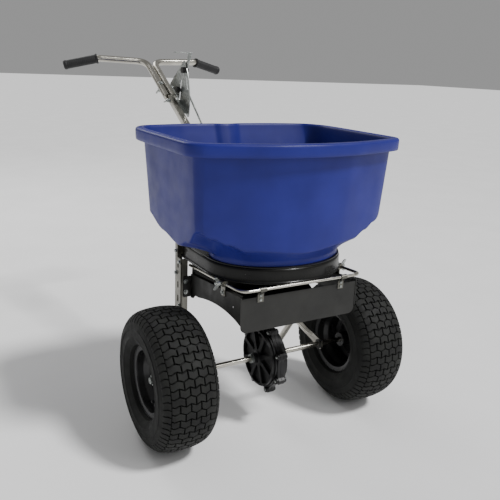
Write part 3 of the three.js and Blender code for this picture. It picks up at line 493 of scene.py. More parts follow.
def hopper_column(rim, normal):
    """One column of the hopper's skin, from the rim's top down the outside and up the inside."""
    outward = Vector((rim.x, rim.y - NECK_CENTRE_Y)).normalized()
    angle = math.degrees(abs(math.atan2(outward.x, -outward.y)))
    foot_z = foot_height(angle)
    turn_z = foot_z + TURN_RISE
    heights = (LIP_FOOT + 6, LIP_FOOT - 30, LIP_FOOT - 80, (LIP_FOOT + foot_z) / 2, foot_z + 40, turn_z)
    # Each point of the wall is [place, height, how nearly flat the skin lies there].
    wall = [(wall_place(rim, normal, z), z, 0.0) for z in heights]

    foot = wall_place(rim, normal, foot_z)
    neck = Vector((NECK_WIDE * outward.x, NECK_CENTRE_Y + NECK_DEEP * outward.y))
    scoop = math.exp(-((angle - SCOOP_ANGLE) / SCOOP_SPREAD) ** 2)
    funnel_z = foot_z + (NECK_TOP - foot_z) * (0.5 - 0.12 * scoop)
    funnel = Vector((*foot.lerp(neck, 0.55 + 0.2 * scoop), funnel_z))
    turn_top = Vector((*wall_place(rim, normal, turn_z), turn_z))
    turn_mid = Vector((*foot, foot_z))
    turn_end = turn_mid.lerp(funnel, 0.1)
    neck_top = Vector((*neck, NECK_TOP))
    for k in range(1, TURN_STEPS + 1):
        p = quadratic(turn_top, turn_mid, turn_end, k / TURN_STEPS)
        wall.append((p.xy, p.z, k / TURN_STEPS))
    slope = [turn_end.lerp(funnel, t) for t in (0.5, 1.0)] + [funnel.lerp(neck_top, t) for t in (0.45, 0.85)]
    wall += [(p.xy, p.z, 1.0) for p in slope]
    wall += [(neck, NECK_TOP - 2, 0.6), (neck, NECK_FOOT, 0.0)]

    inside = [(p - normal * WALL * (1 - 0.5 * flat), z + WALL * flat) for p, z, flat in wall]
    top_inside = wall_place(rim, normal, RIM_TOP) - normal * WALL
    column = [(rim - normal * inset, z) for inset, z in LIP]
    column += [(p, z) for p, z, _ in wall] + inside[::-1]
    column += [(top_inside + normal * out, RIM_TOP - drop) for out, drop in ((0, 8), (1, 2.5), (4, 0))]
    return [(p.x, p.y, z) for p, z in column]


hopper_columns = [hopper_column(rim, normal) for rim, normal in rim_columns(14)]
hopper_skin = rings([list(loop) for loop in zip(*hopper_columns)], closed=True)
add("hopper_skin", [hopper_skin], BLUE, "chassis", nodes=["hopper"], sharp=50)


# ---------------- deck

DECK_TOP, DECK_HALF, DECK_FRONT, DECK_REAR, DECK_MIDDLE, DECK_CORNER = 497, 190, -163, 148, -10, 9
# The band's section, [inset from the deck's outline, height].
BAND = [(9, 494.6), (4, 493.9), (1.2, 491.8), (0.2, 488), (0, 478), (0, 464), (-1.2, 461), (-3.5, 459.5),
        (-4, 457.4), (-3.2, 456.2), (2.5, 456.2), (3.2, 460), (3.2, 491)]
SHAFT_BUSH = [(6.4, -4), (10.4, -4), (10.4, 0.2), (15, 0.2), (15, 3.2), (13.6, 4), (6.4, 4)]
GATE_PLAN = [(-62, -90), (62, -90), (62, 40), (50, 60), (50, 198), (33, 198), (33, 60), (-40, 60), (-62, 40)]


def deck_loop(inset):
    """The deck's outline: half an ellipse in front, straight sides and a flat back with rounded corners."""
    wide, deep = DECK_HALF - inset, DECK_MIDDLE - DECK_FRONT - inset
    front = [(wide * math.cos(t), DECK_MIDDLE + deep * math.sin(t))
             for t in (math.pi + math.pi * i / 72 for i in range(73))]
    side, rear = wide - DECK_CORNER, DECK_REAR - inset - DECK_CORNER
    return front + arc(side, rear, DECK_CORNER, 0, 90, 5) + arc(-side, rear, DECK_CORNER, 90, 180, 5)


def ports(y):
    """The row of three round openings that the salt falls through."""
    return [circle(x, y, 14) for x in (-38, 0, 38)]


band_loops = [[(x, y, z) for x, y in deck_loop(inset)] for inset, z in BAND]
add("deck_band", [rings(band_loops, closed=True)], GLOSS, "chassis", nodes=["deck_housing"], sharp=40)
sheet = slab([deck_loop(3), circle(0, 0, 11), *ports(-62)], "z", DECK_TOP - 2.8, 2.6)
add("deck_sheet", [sheet], GLOSS, "chassis", 0.6, ["deck_plate"])
add("shaft_bush", [turn(SHAFT_BUSH, (0, 0, DECK_TOP), Z_AXIS, 32)], MATT, "chassis", nodes=["shaft_bushing"])
gate = slab([rounded(GATE_PLAN, 6), slot((0, 0), (0, 33.5), 13), *ports(-28.5)], "z", DECK_TOP - 6.5, 2.5)
add("gate_plate", [gate], ZINC, "gate", 0.3, ["shutoff_gate"])


# ---------------- side frames

AXLE_Z = 184
LEG_X, LEG_APEX, LEG_FOOT_Y, LEG_R, LEG_BEND = 188, (136, 218), 288, 10, 50
# Half the thickness and half the width along the leg's pressed end.
PRESSED = [(2.6, 14.5), (2.8, 14), (5, 12.6), (8.6, 10.8)]
EYE_PLATE = [(-14, -13), (6, -15), (34, -3), (40, 10), (34, 22), (6, 17), (-14, 13)]
LEG_FALL = Vector((0, LEG_FOOT_Y - LEG_APEX[0], -LEG_APEX[1])).normalized()
# The rubber cup's section, [distance up the leg, radius].
FOOT_CUP = [(30, 10.6), (30, 12.6), (29, 13.4), (24, 13.4), (22, 14)]
POST_FRONT, POST_REAR, POST_SHEET, POST_INSIDE, POST_OUTSIDE = 125, 165, 3, 181, 201.5
POST_FOOT, FLANGE_FOOT, POST_SHOULDER, POST_TOP = 194, 234, 454, 525
AXLE_BUSH = [(7.9, -7), (9.7, -7), (9.7, 2.8), (14, 2.8), (14, 5.2), (13.2, 6), (7.9, 6)]


def leg():
    """A bent tube, pressed flat at the axle end, with an eye plate round the axle."""
    rise = Vector((0, LEG_APEX[0], LEG_APEX[1] - AXLE_Z)).normalized()
    start = Vector((LEG_X, 0, AXLE_Z)) + rise * 14
    apex = Vector((LEG_X, *LEG_APEX))
    foot = Vector((LEG_X, LEG_FOOT_Y, 0)) - LEG_FALL * 11
    pressed = [start.lerp(apex, t) for t in (0, 0.1, 0.2, 0.3, 0.4)]
    path = pressed + bend_path([start, apex, foot], LEG_BEND)[1:]

    def section(t):
        i = round(t * (len(path) - 1))
        thick, wide = PRESSED[i] if i < len(PRESSED) else (LEG_R, LEG_R)
        return [(thick * u, wide * v) for u, v in circle(0, 0, 1)]

    eye = slab([rounded(EYE_PLATE, 9), circle(0, 0, 10)], "x", LEG_X - 2.5, 5)
    return joined([rings(sweep(path, section)), moved(eye, 0, 0, AXLE_Z)])


def foot_cap():
    """A rubber cup round the leg's end, cut flat on the ground."""
    across = Vector((0, -LEG_FALL.z, LEG_FALL.y))
    end = Vector((LEG_X, LEG_FOOT_Y, 0))

    def ring(radius):
        return [Vector((u, 0, 0)) + across * v for u, v in circle(0, 0, radius, 28)]

    loops = [[tuple(end + offset - LEG_FALL * up) for offset in ring(radius)] for up, radius in FOOT_CUP]
    sole = ring(FOOT_CUP[-1][1])
    loops.append([tuple(end + offset - LEG_FALL * (offset.z / LEG_FALL.z)) for offset in sole])
    return rings(loops)


def post():
    """A folded channel with slots, open towards the deck."""
    web = [(POST_FRONT, POST_FOOT), (POST_REAR, POST_FOOT), (POST_REAR, POST_TOP), (150, POST_TOP),
           (150, POST_SHOULDER), (POST_FRONT, POST_SHOULDER)]
    slots = [slot((145, z - 6), (145, z + 6), 3.6) for z in (296, 336, 376, 434)]
    parts = [slab([rounded(web, 2.5, 2), *slots], "x", POST_OUTSIDE - POST_SHEET, POST_SHEET)]
    for y, top in ((POST_FRONT, POST_SHOULDER), (POST_REAR - POST_SHEET, POST_TOP)):
        flange = rectangle(POST_INSIDE, FLANGE_FOOT, POST_OUTSIDE, top)
        parts.append(slab([rounded(flange, 3, 2)], "y", y, POST_SHEET))
    return joined(parts)


def post_bolts():
    places = ((134, 444, 7), (157, 408, 7), (134, 318, 7), (146, 214, 7), (157.5, 470, 6.5))
    return joined([bolt((POST_OUTSIDE, y, z), X_AXIS, 5.2, 4, washer) for y, z, washer in places])


for side, name in SIDES:
    add(f"{name}_leg_tube", [for_side(side, leg())], BRIGHT, "chassis", nodes=[f"{name}_leg"])
    add(f"{name}_foot_rubber", [for_side(side, foot_cap())], GRIP, "chassis", nodes=[f"{name}_foot_cap"])
    add(f"{name}_post_channel", [for_side(side, post())], BRUSHED, "chassis", 0.5, [f"{name}_post"])
    add(f"{name}_post_bolts", [for_side(side, post_bolts())], ZINC, "chassis")
    bush = turn(AXLE_BUSH, (LEG_X, 0, AXLE_Z), (-1, 0, 0), 32)
    add(f"{name}_bush", [for_side(side, bush)], MATT, "chassis", nodes=[f"{name}_axle_bushing"])

CHANNEL_HALF = 180.7
CHANNEL = [(150.3, 452), (153.3, 452), (153.3, 481), (172, 481), (172, 452), (175, 452), (175, 484),
           (150.3, 484)]
add("crossmember", [slab([CHANNEL], "x", -CHANNEL_HALF, 2 * CHANNEL_HALF)], BRUSHED, "chassis", 0.6,
    ["rear_crossmember"])

SADDLE_FOOT, SADDLE_SHEET, CHEEK_X = 484.3, 3, 10.3
CHEEK = [(152, SADDLE_FOOT), (173, SADDLE_FOOT), (236, 562), (225, 584), (186, 562), (152, 520)]
CHEEK_OUTSIDE = CHEEK_X + SADDLE_SHEET
CHEEK_LOOPS = [rounded(CHEEK, 5), circle(214, 564, 4)]
cheeks = [slab(CHEEK_LOOPS, "x", x, SADDLE_SHEET) for x in (CHEEK_X, -CHEEK_OUTSIDE)]
saddle_base = block((-CHEEK_OUTSIDE, 152, SADDLE_FOOT), (CHEEK_OUTSIDE, 173, SADDLE_FOOT + SADDLE_SHEET))
add("saddle", [*cheeks, saddle_base], BRUSHED, "chassis", 0.5, ["handle_saddle"])
saddle_bolts = [bolt((x, 214, 564), (x, 0, 0), 6, 4.5, 9) for x in (-CHEEK_OUTSIDE, CHEEK_OUTSIDE)]
saddle_bolts.append(bolt((0, 162, SADDLE_FOOT + SADDLE_SHEET), Z_AXIS, 5, 4, 7))
add("saddle_bolts", saddle_bolts, ZINC, "chassis")


# ---------------- baffles, panel, shield and rod

ROD_FRONT, ROD_REAR, ROD_END_Y, ROD_X, ROD_HOLE = (-168, 455), (136, 434.5), 123, 176, 4.3
CLAMP_Y, CLAMP_TOP = -72, 455.7
BAFFLE_X, BAFFLE_REAR, BAFFLE_SHEET = 170, 124, 2.5
SMALL_BOLT = (4.4, 3.4, 6.5)


def rod_z(y):
    return ROD_FRONT[1] + (ROD_REAR[1] - ROD_FRONT[1]) * (y - ROD_FRONT[0]) / (ROD_REAR[0] - ROD_FRONT[0])


def baffle():
    """A plate with an arched lower edge, a lip folded in along its top and a tab against the post."""
    arch = bezier((-158, 366.5), (-110, 380), (-30, 386), (74, 358))
    outline = [(BAFFLE_REAR, 341), (BAFFLE_REAR, 409.5), (-158, 438.4), *arch, (96, 356), (108, 344)]
    plate = slab([outline, circle(-120, 402, 3)], "x", BAFFLE_X, BAFFLE_SHEET)
    lip = slab([[(-146, 434.6), (120, 407.3), (120, 409.6), (-146, 436.9)]], "x", BAFFLE_X - 10, 11)
    tab = slab([rounded(rectangle(BAFFLE_X, 345, 195.5, 405), 4)], "y", BAFFLE_REAR - 1.8, BAFFLE_SHEET)
    return joined([plate, lip, tab])


def rod_clamp():
    """A block round the rod, with a skirt that is bolted to the baffle."""
    z = rod_z(CLAMP_Y)
    outline = rounded(rectangle(ROD_X - 8, z - 7, ROD_X + 8, CLAMP_TOP), 4)
    jaw = slab([outline, circle(ROD_X, z, ROD_HOLE)], "y", CLAMP_Y - 12, 24)
    skirt = slab([rounded(rectangle(CLAMP_Y - 10, z - 34, CLAMP_Y + 10, z), 4)], "x", 172.8, 3)
    return joined([jaw, skirt])


rod_line = [(-ROD_X, ROD_END_Y, rod_z(ROD_END_Y)), (-ROD_X, *ROD_FRONT), (ROD_X, *ROD_FRONT),
            (ROD_X, ROD_END_Y, rod_z(ROD_END_Y))]
add("guard_rod", [tube(rod_line, 26, 4)], BRIGHT, "chassis", nodes=["shield_rod"])

for side, name in SIDES:
    add(f"{name}_side_baffle", [for_side(side, baffle())], MATT, "chassis", 0.5, [f"{name}_baffle"])
    add(f"{name}_clamp", [for_side(side, rod_clamp())], BRUSHED, "chassis", 0.4, [f"{name}_rod_clamp"])
    nut = wing_nut((184.4, CLAMP_Y, rod_z(CLAMP_Y)), X_AXIS, 0.9)
    add(f"{name}_clamp_nut", [for_side(side, nut)], ZINC, "chassis", 0.3, [f"{name}_clamp_wing_nut"])
    heads = [bolt((188, BAFFLE_REAR - 1.8, z), (0, -1, 0), *SMALL_BOLT) for z in (360, 390)]
    heads.append(bolt((175.8, CLAMP_Y, rod_z(CLAMP_Y) - 24), X_AXIS, *SMALL_BOLT))
    add(f"{name}_baffle_bolts", [for_side(side, joined(heads))], ZINC, "chassis")

PANEL_Y, PANEL_FOOT, PANEL_TOP, PANEL_HALF, PANEL_SHEET = 121, 345, 455.7, 169.5, 2.5
panel_outline = rounded(rectangle(-PANEL_HALF, PANEL_FOOT, PANEL_HALF, PANEL_TOP), 6)
panel = slab([panel_outline], "y", PANEL_Y, PANEL_SHEET)
panel_lip = block((-150, PANEL_Y + 2, PANEL_FOOT), (150, PANEL_Y + 9, PANEL_FOOT + 2.4))
add("back_panel", [panel, panel_lip], MATT, "chassis", 0.6, ["rear_panel"])
panel_bolts = [bolt((x, PANEL_Y + PANEL_SHEET, z), Y_AXIS, *SMALL_BOLT)
               for x in (-158, 158) for z in (362, 440)]
add("back_panel_bolts", panel_bolts, ZINC, "chassis")

SHIELD_Y, SHIELD_HALF, SHIELD_FOOT, SHIELD_TOP, SHIELD_CORNER, STRAP = -157, 169.5, 345, 433, 16, 2
corner_x, corner_z = SHIELD_HALF - SHIELD_CORNER, SHIELD_FOOT + SHIELD_CORNER
shield_outline = [(-SHIELD_HALF, SHIELD_TOP), *arc(-corner_x, corner_z, SHIELD_CORNER, 180, 270),
                  *arc(corner_x, corner_z, SHIELD_CORNER, 270, 360), (SHIELD_HALF, SHIELD_TOP)]
add("shield_plate", [slab([shield_outline], "y", SHIELD_Y, 3)], MATT, "shield", 0.6, ["front_shield"])


def clip_strap():
    """A strap rolled round the rod, with its tail down the shield's face."""
    y, z = ROD_FRONT
    back = SHIELD_Y - 0.3
    roll = arc(y, z, 6.2, -18, 243, 20)
    tail = [(y + 5.5, z - 10), (back - STRAP, z - 15), (back - STRAP, z - 35), (back, z - 35), (back, z - 13)]
    return slab([roll + tail, circle(y, z, ROD_HOLE)], "x", 110.5, 17)


for side, name in SIDES:
    add(f"{name}_clip", [for_side(side, clip_strap())], BRUSHED, "shield", 0.35, [f"{name}_shield_clip"])
    screws = [pan_screw((119, SHIELD_Y - 0.3 - STRAP, z), (0, -1, 0), 3.6) for z in (437, 426)]
    add(f"{name}_clip_screws", [for_side(side, joined(screws))], ZINC, "shield")


# ---------------- axle and wheels

HALF_TRACK, AXLE_HALF, AXLE_R = 293, 330, 7.5
axle = [(AXLE_R - 1, -AXLE_HALF), (AXLE_R, 1.5 - AXLE_HALF), (AXLE_R, AXLE_HALF - 1.5),
        (AXLE_R - 1, AXLE_HALF)]
add("axle_bar", [spindle(axle, (0, 0, AXLE_Z), X_AXIS)], BRIGHT, "drive", nodes=["axle"])

# Sections of the wheel are [radius, distance from the wheel's middle]. First half of the tyre: its carcass
# under the tread, and its bore.
CARCASS = [(177.5, 0), (177, 12), (176, 24), (174.6, 36), (172.6, 46), (169.6, 55), (165.6, 62), (161, 67.2),
           (155, 71.6), (148, 74.8), (141.5, 76.6), (141, 78), (138, 78.6), (135, 78.2), (134.4, 77.2),
           (126, 77.4), (118, 76.6), (116.6, 77.3), (114, 77.2), (113, 75.9), (106, 73.2), (101, 69.8),
           (98, 67.6), (97, 67.8), (95.4, 66.4), (94.6, 62), (93.4, 56), (92.6, 54)]
BORE = [(82, 50), (81.6, 40), (100, 40), (120, 44), (150, 44), (165, 30)]
# Then the rim: half of its channel outside and inside, and the disc with the hub of the +X wheel.
RIM_OUTSIDE = [(70, 19), (72, 23), (79, 31), (80.8, 35), (80.8, 49), (82, 52.4), (88, 53.6), (92, 55),
               (92.6, 56), (92, 57)]
RIM_INSIDE = [(90, 57.2), (84, 55.4), (79.4, 54), (78, 50), (77.4, 36), (75.6, 32), (68.6, 24)]
HUB_DISC = [(66.8, 20), (66.4, 13), (63, 11.4), (58, 13.4), (50, 15.6), (45, 15.4), (40, 12.4), (32, 9.4),
            (27, 9.2), (23.4, 11), (21, 15), (21, 31), (20, 32), (12, 32), (8, 32), (8, -32), (20, -32),
            (21, -31), (21, 4), (27, 5.2), (40, 8), (45, 11), (50, 11.2), (58, 9), (66, 7), (66.6, -19)]
# Top of the tread across its width, [distance from the middle, radius].
CROWN = [(0, 184), (12, 183.6), (24, 182.6), (36, 181), (46, 178.8), (55, 175.2), (62, 170.4), (67, 165.4),
         (71.5, 159.4), (74.5, 153)]
TYRE_R, TREAD_ROWS, BLOCK_WIDE, TREAD_HALF = 184, 58, 26, 58.5
# The gaps between blocks: across the tread in millimetres, and round it as a share of a row.
GAP_ACROSS, GAP_ROUND, BLOCK_SAMPLES = 1.5, 0.085, 6


def crown_radius(x):
    x = abs(x)
    for (x0, r0), (x1, r1) in zip(CROWN, CROWN[1:]):
        if x <= x1:
            return r0 + (r1 - r0) * (x - x0) / (x1 - x0)
    return CROWN[-1][1]


def wave(x):
    """How far a row's edge runs ahead at a place across the tread: a zigzag one block long."""
    phase = (x / BLOCK_WIDE) % 1.0
    return 0.30 * (abs(phase - 0.5) * 2 - 0.5)


def tread_block(x0, x1, row, depth):
    """One chevron block between two places across the tread, with a chamfered top."""
    pitch = 2 * math.pi / TREAD_ROWS
    loops = []
    for inset, drop in ((0, depth + 1.5), (0, 0.9), (0.9, 0)):
        a, b = x0 + GAP_ACROSS + inset, x1 - GAP_ACROSS - inset
        trim = GAP_ROUND + inset / TYRE_R / pitch
        low, high = [], []
        for i in range(BLOCK_SAMPLES + 1):
            x = a + (b - a) * i / BLOCK_SAMPLES
            radius = crown_radius(x) - drop
            for edge, v in ((low, trim), (high, 1 - trim)):
                angle = (row + v + wave(x)) * pitch
                edge.append((x, radius * math.cos(angle), radius * math.sin(angle)))
        loops.append(low + high[::-1])
    points, faces = rings(loops, caps=False)
    count = len(loops[0])
    top = 2 * count
    for i in range(BLOCK_SAMPLES):
        faces.append((top + i, top + i + 1, top + count - 2 - i, top + count - 1 - i))
    return points, faces


def tread():
    """Rows of blocks, every other row moved half a block, with a row of shoulder blocks at each side."""
    blocks = []
    for row in range(TREAD_ROWS):
        offset = 0.5 * BLOCK_WIDE if row % 2 else 0.0
        inner = [(i - 2.5) * BLOCK_WIDE + offset for i in range(6)]
        edges = [-TREAD_HALF] + [edge for edge in inner if -50 < edge < 50] + [TREAD_HALF]
        blocks += [tread_block(x0, x1, row, 6) for x0, x1 in zip(edges, edges[1:])]
        blocks += [tread_block(x0, x1, row + 0.5, 4.5) for x0, x1 in ((-74.0, -57.0), (57.0, 74.0))]
    return joined(blocks)


def other_half(section):
    return [(radius, -x) for radius, x in reversed(section)]


TREAD = tread()
CARCASS_PART = turn(CARCASS + BORE + other_half((CARCASS + BORE)[1:]), (0, 0, 0), X_AXIS, 120)
RIM_PROFILE = other_half(RIM_OUTSIDE) + RIM_OUTSIDE + RIM_INSIDE + HUB_DISC + other_half(RIM_INSIDE)
STEM = [(5, 0), (5, 3), (4, 5), (3.6, 16), (4, 17), (4, 24), (3.4, 25.2)]
DISC_BOLTS, DISC_BOLT_R, DISC_BOLT_X = 4, 33, HALF_TRACK + 9.6
STEM_X, STEM_Z, HUB_CUP_X = HALF_TRACK + 17, AXLE_Z - 66, 324.8


def wheel(side, name, body):
    outward, centre = (side, 0, 0), (side * HALF_TRACK, 0, AXLE_Z)
    carcass = moved(for_side(side, CARCASS_PART), *centre)
    add(f"{name}_tyre_body", [carcass], TYRE, body, nodes=[f"{name}_tyre"], sharp=38)
    add(f"{name}_tyre_tread", [moved(for_side(side, TREAD), *centre)], TYRE, body, sharp=28)
    rim = turn(RIM_PROFILE, centre, outward, 96)
    add(f"{name}_rim_steel", [rim], RIM, body, nodes=[f"{name}_rim"], sharp=45)
    bolts = []
    for i in range(DISC_BOLTS):
        y, z = polar(DISC_BOLT_R, 45 + 360 / DISC_BOLTS * i)
        bolts.append(bolt((side * DISC_BOLT_X, y, AXLE_Z + z), outward, 5, 4, 7))
    add(f"{name}_disc_bolts", bolts, RIM, body)
    stem = spindle(STEM, (side * STEM_X, 0, STEM_Z), (side, 0, 0.2), 16)
    add(f"{name}_stem", [stem], GRIP, body, nodes=[f"{name}_valve_stem"])


WHEEL_BODY = {"left": "drive", "right": "free_wheel"}
for side, name in SIDES:
    wheel(side, name, WHEEL_BODY[name])

WASHER = [(15, 0), (15, 1.8), (14.4, 2.4), (4, 2.4)]
HUB_BOLT = [(9.6, 2.4), (9.6, 8.2), (8, 9.4), (4, 9.4), (3.6, 8.4)]
HUB_CUP = [(19, 0), (19, 1.2), (17, 3), (15.4, 3.2)]
for side, name in SIDES:
    end, outward = (side * (AXLE_HALF + 0.3), 0, AXLE_Z), (side, 0, 0)
    axle_bolt = [spindle(WASHER, end, outward), spindle(HUB_BOLT, end, outward, 6)]
    add(f"{name}_axle_bolt", axle_bolt, ZINC, "drive", 0.3, [f"{name}_hub_bolt"])
    add(f"{name}_hub_cup", [spindle(HUB_CUP, (side * HUB_CUP_X, 0, AXLE_Z), outward)], ZINC, WHEEL_BODY[name])


# ---------------- gearbox and spinner

LUGS, LUG_R, CASE_INSIDE = 8, 92, 0.3
LUG_ANGLES = [22.5 + 360 / LUGS * i for i in range(LUGS)]
# The case's edge as it passes a lug, and a pocket in its face: [radius, degrees from the middle].
LUG_EDGE = [(86, -15), (89, -8), (93.5, -5.5), (100.5, -4), (102, 0), (100.5, 4), (93.5, 5.5), (89, 8),
            (86, 15)]
POCKET = [(24, -7), (73, -18.5), (75, -9), (75.5, 0), (75, 9), (73, 18.5), (24, 7)]
CASE_HUB = [(20, 22), (20, 25), (17, 27), (15.5, 29), (15, 38), (14, 39), (8, 39), (8, 22)]
CASE_NECK = [(-17, 60), (17, 60), (15, 146), (11, 158), (-11, 158), (-15, 146)]
COLLAR = [(8.2, 39), (12.5, 39), (12.5, 46), (11.5, 47), (8.2, 47)]


def case_half():
    """The +X half of the gear case: a round shell with lugs, wedge pockets, a hub and a ribbed neck."""
    outline = [polar(radius, lug + offset) for lug in LUG_ANGLES for radius, offset in LUG_EDGE]
    pockets = [[polar(radius, 360 / LUGS * i + offset) for radius, offset in POCKET] for i in range(LUGS)]
    face, step = circle(0, 0, 84, 32), circle(0, 0, 80, 32)
    parts = [slab([outline], "x", CASE_INSIDE, 9), slab([face], "x", 9.3, 6), slab([step], "x", 15.3, 2),
             slab([step, *pockets], "x", 17.3, 7)]
    parts += [disc((CASE_INSIDE, *polar(LUG_R, lug)), X_AXIS, 8.4, 15, 20, 1) for lug in LUG_ANGLES]
    parts.append(turn(CASE_HUB, (0, 0, 0), X_AXIS, 40))
    parts.append(slab([rounded(CASE_NECK, 5)], "x", CASE_INSIDE, 17))
    parts.append(slab([rounded(rectangle(-3, 70, 3, 150), 2)], "x", 17, 6))
    return moved(joined(parts), 0, 0, AXLE_Z)


for side, name in SIDES:
    add(f"{name}_case", [for_side(side, case_half())], CASE, "chassis", 0.9, [f"gearbox_{name}_half"])
    screws = [pan_screw((CASE_INSIDE + 15, *polar(LUG_R, lug)), X_AXIS, 3.8) for lug in LUG_ANGLES]
    add(f"{name}_case_screws", [for_side(side, moved(joined(screws), 0, 0, AXLE_Z))], ZINC, "chassis")
    add(f"{name}_axle_collar", [turn(COLLAR, (0, 0, AXLE_Z), (side, 0, 0), 32)], ZINC, "drive")

GEAR_TEETH, PINION_TEETH, PINION_TIP, PINION_ROOT, SHAFT_R = 30, 6, 12.2, 9.3, 6
SHAFT_HOLE = SHAFT_R + 0.4


def face_gear():
    """A disc on a hub, with square teeth round its face."""
    parts = [turn([(7.8, 15.7), (66, 15.7), (66, 18.7), (7.8, 18.7)], (0, 0, 0), X_AXIS, 60),
             turn([(7.8, 4), (13, 4), (14, 5), (14, 16), (7.8, 16)], (0, 0, 0), X_AXIS, 32)]
    tooth = block((12.7, -2.4, 54), (16, 2.4, 65))
    for i in range(GEAR_TEETH):
        parts.append(turned_by(tooth, Matrix.Rotation(2 * math.pi * i / GEAR_TEETH, 3, "X")))
    return moved(joined(parts), 0, 0, AXLE_Z)


def pinion_loop():
    tooth = ((PINION_ROOT, -30), (PINION_ROOT, -14), (PINION_TIP, -7), (PINION_TIP, 7), (PINION_ROOT, 14))
    turns = [360 / PINION_TEETH * i for i in range(PINION_TEETH)]
    return [polar(radius, turned + offset) for turned in turns for radius, offset in tooth]


def impeller():
    """A dished disc with a hub above and below it, and four curved fins."""
    dish = [(SHAFT_HOLE, 385), (114, 385), (117.4, 386), (118, 390), (116.6, 390), (113, 388), (15, 388),
            (14.4, 404), (13, 405), (SHAFT_HOLE, 405)]
    skirt = [(SHAFT_HOLE, 373), (13, 373), (14.5, 375), (14.5, 386), (SHAFT_HOLE, 386)]
    parts = [turn(dish, (0, 0, 0), Z_AXIS, 72), turn(skirt, (0, 0, 0), Z_AXIS, 40)]
    front = bezier((20, 1.2), (60, 0), (86, -8), (112, -31), 10)
    back = bezier((111, -33.5), (84, -10.5), (58, -3), (20, -1.2), 10)
    fin = slab([front + back], "z", 387, 25)
    parts += [turned_by(fin, Matrix.Rotation(math.pi / 2 * i, 3, "Z")) for i in range(4)]
    return joined(parts)


add("face_gear", [face_gear()], ZINC, "drive", nodes=["axle_gear"])
pinion = slab([pinion_loop(), circle(0, 0, 6.3)], "z", 238, 12)
add("pinion_teeth", [pinion], ZINC, "spinner", nodes=["pinion"])
shaft = spindle([(5.2, 204), (SHAFT_R, 205), (SHAFT_R, 551), (5.2, 552)], (0, 0, 0), Z_AXIS, 28)
add("spinner_shaft", [shaft], BRIGHT, "spinner", nodes=["impeller_shaft"])
add("impeller_disc", [impeller()], MATT, "spinner", nodes=["impeller"])
agitator_arms = tube([(-62, 0, 518), (-44, 0, 548), (44, 0, 548), (62, 0, 518)], 10, 3, 14, Y_AXIS)
agitator_hub = [(SHAFT_HOLE, 526), (10, 526), (11, 527), (11, 554), (9.6, 556), (SHAFT_HOLE, 556)]
add("agitator_wire", [agitator_arms, turn(agitator_hub, (0, 0, 0), Z_AXIS, 28)], ZINC, "spinner",
    nodes=["agitator"])


# ---------------- handle

# The handle's line passes through HANDLE_AT and climbs HANDLE_RISE for each millimetre back.
HANDLE_AT, HANDLE_RISE = (563, 773), 0.589
SLOPE = math.atan(HANDLE_RISE)
ALONG = Vector((0, math.cos(SLOPE), math.sin(SLOPE)))
ACROSS = Vector((0, -math.sin(SLOPE), math.cos(SLOPE)))
# Places along the handle are distances behind the axle.
SLEEVE_START, SLEEVE_END, SLEEVE_HALF, SLEEVE_BORE = 196, 687, 10, 8
PLUG_START, PLUG_END, PLATE_START, PLATE_END, PLUG_HALF = 560, 689, 685, 775, 7.7
BAR_START, BAR_TURN, BAR_X, BAR_R, BAR_BORE, BAR_BEND = 690, 880, 12.5, 11, 9.5, 42
SLEEVE_NUT_Y, LOWER_BOLT_Y, BAR_NUT_Y = 671, 622, 748
GRIP_START, GRIP_END, GRIP_STEP = (181, 897, 965), (289, 926, 939), 6.4


def on_handle(y, x=0.0, above=0.0):
    return Vector((x, y, HANDLE_AT[1] + HANDLE_RISE * (y - HANDLE_AT[0]))) + ACROSS * above


def box_section(half_wide, half_high, corner):
    return rounded(rectangle(-half_wide, -half_high, half_wide, half_high), corner)


def sleeve():
    """A square tube with rounded edges."""
    ends = [on_handle(SLEEVE_START), on_handle(SLEEVE_END)]
    outside = sweep(ends, lambda t: box_section(SLEEVE_HALF, SLEEVE_HALF, 2.5))
    inside = sweep(ends, lambda t: box_section(SLEEVE_BORE, SLEEVE_BORE, 1.2))
    return rings(outside + inside[::-1], closed=True)


def tongue():
    """The plug that slides in the sleeve, and the plate on it that stands between the two tubes."""
    plug = sweep([on_handle(PLUG_START), on_handle(PLUG_END)], lambda t: box_section(PLUG_HALF, PLUG_HALF, 1))
    plate = sweep([on_handle(PLATE_START), on_handle(PLATE_END)], lambda t: box_section(1.2, PLUG_HALF, 0.4))
    return joined([rings(plug), rings(plate)])


def bar(side):
    """A bent tube from beside the tongue to the grip's far end, plugged at its foot."""
    x = side * BAR_X
    line = [on_handle(BAR_START, x), on_handle(BAR_TURN, x), (side * GRIP_START[0], *GRIP_START[1:]),
            (side * GRIP_END[0], *GRIP_END[1:])]
    plug = disc(on_handle(BAR_START + 0.6, x), ALONG, BAR_BORE - 0.2, 3, 24, 0.5)
    return joined([tube(line, BAR_BEND, BAR_R, 28, X_AXIS, BAR_BORE), plug])


def grip(side):
    """A moulded grip with a collar, shallow rings and a rounded end."""
    start = Vector((side * GRIP_START[0], *GRIP_START[1:]))
    end = Vector((side * GRIP_END[0], *GRIP_END[1:]))
    length = (end - start).length
    profile = [(11.4, 6), (15.8, 6), (17, 7.2), (17, 10.6), (15.6, 12.4)]
    place = 16.0
    while place < length - 6:
        profile += [(14.6, place), (14.9, place + 0.8), (14.9, place + 4.2), (14.6, place + 5)]
        place += GRIP_STEP
    profile += [(14.8, length - 3), (15.8, length - 1), (15.9, length + 4), (14.6, length + 7.6),
                (11, length + 9.6), (5, length + 10)]
    return spindle(profile, start, end - start, 40)


for side, name in SIDES:
    add(f"{name}_bar", [bar(side)], BRIGHT, "handle", nodes=[f"{name}_handle_tube"])
    add(f"{name}_hand_grip", [grip(side)], GRIP, "handle", nodes=[f"{name}_grip"])

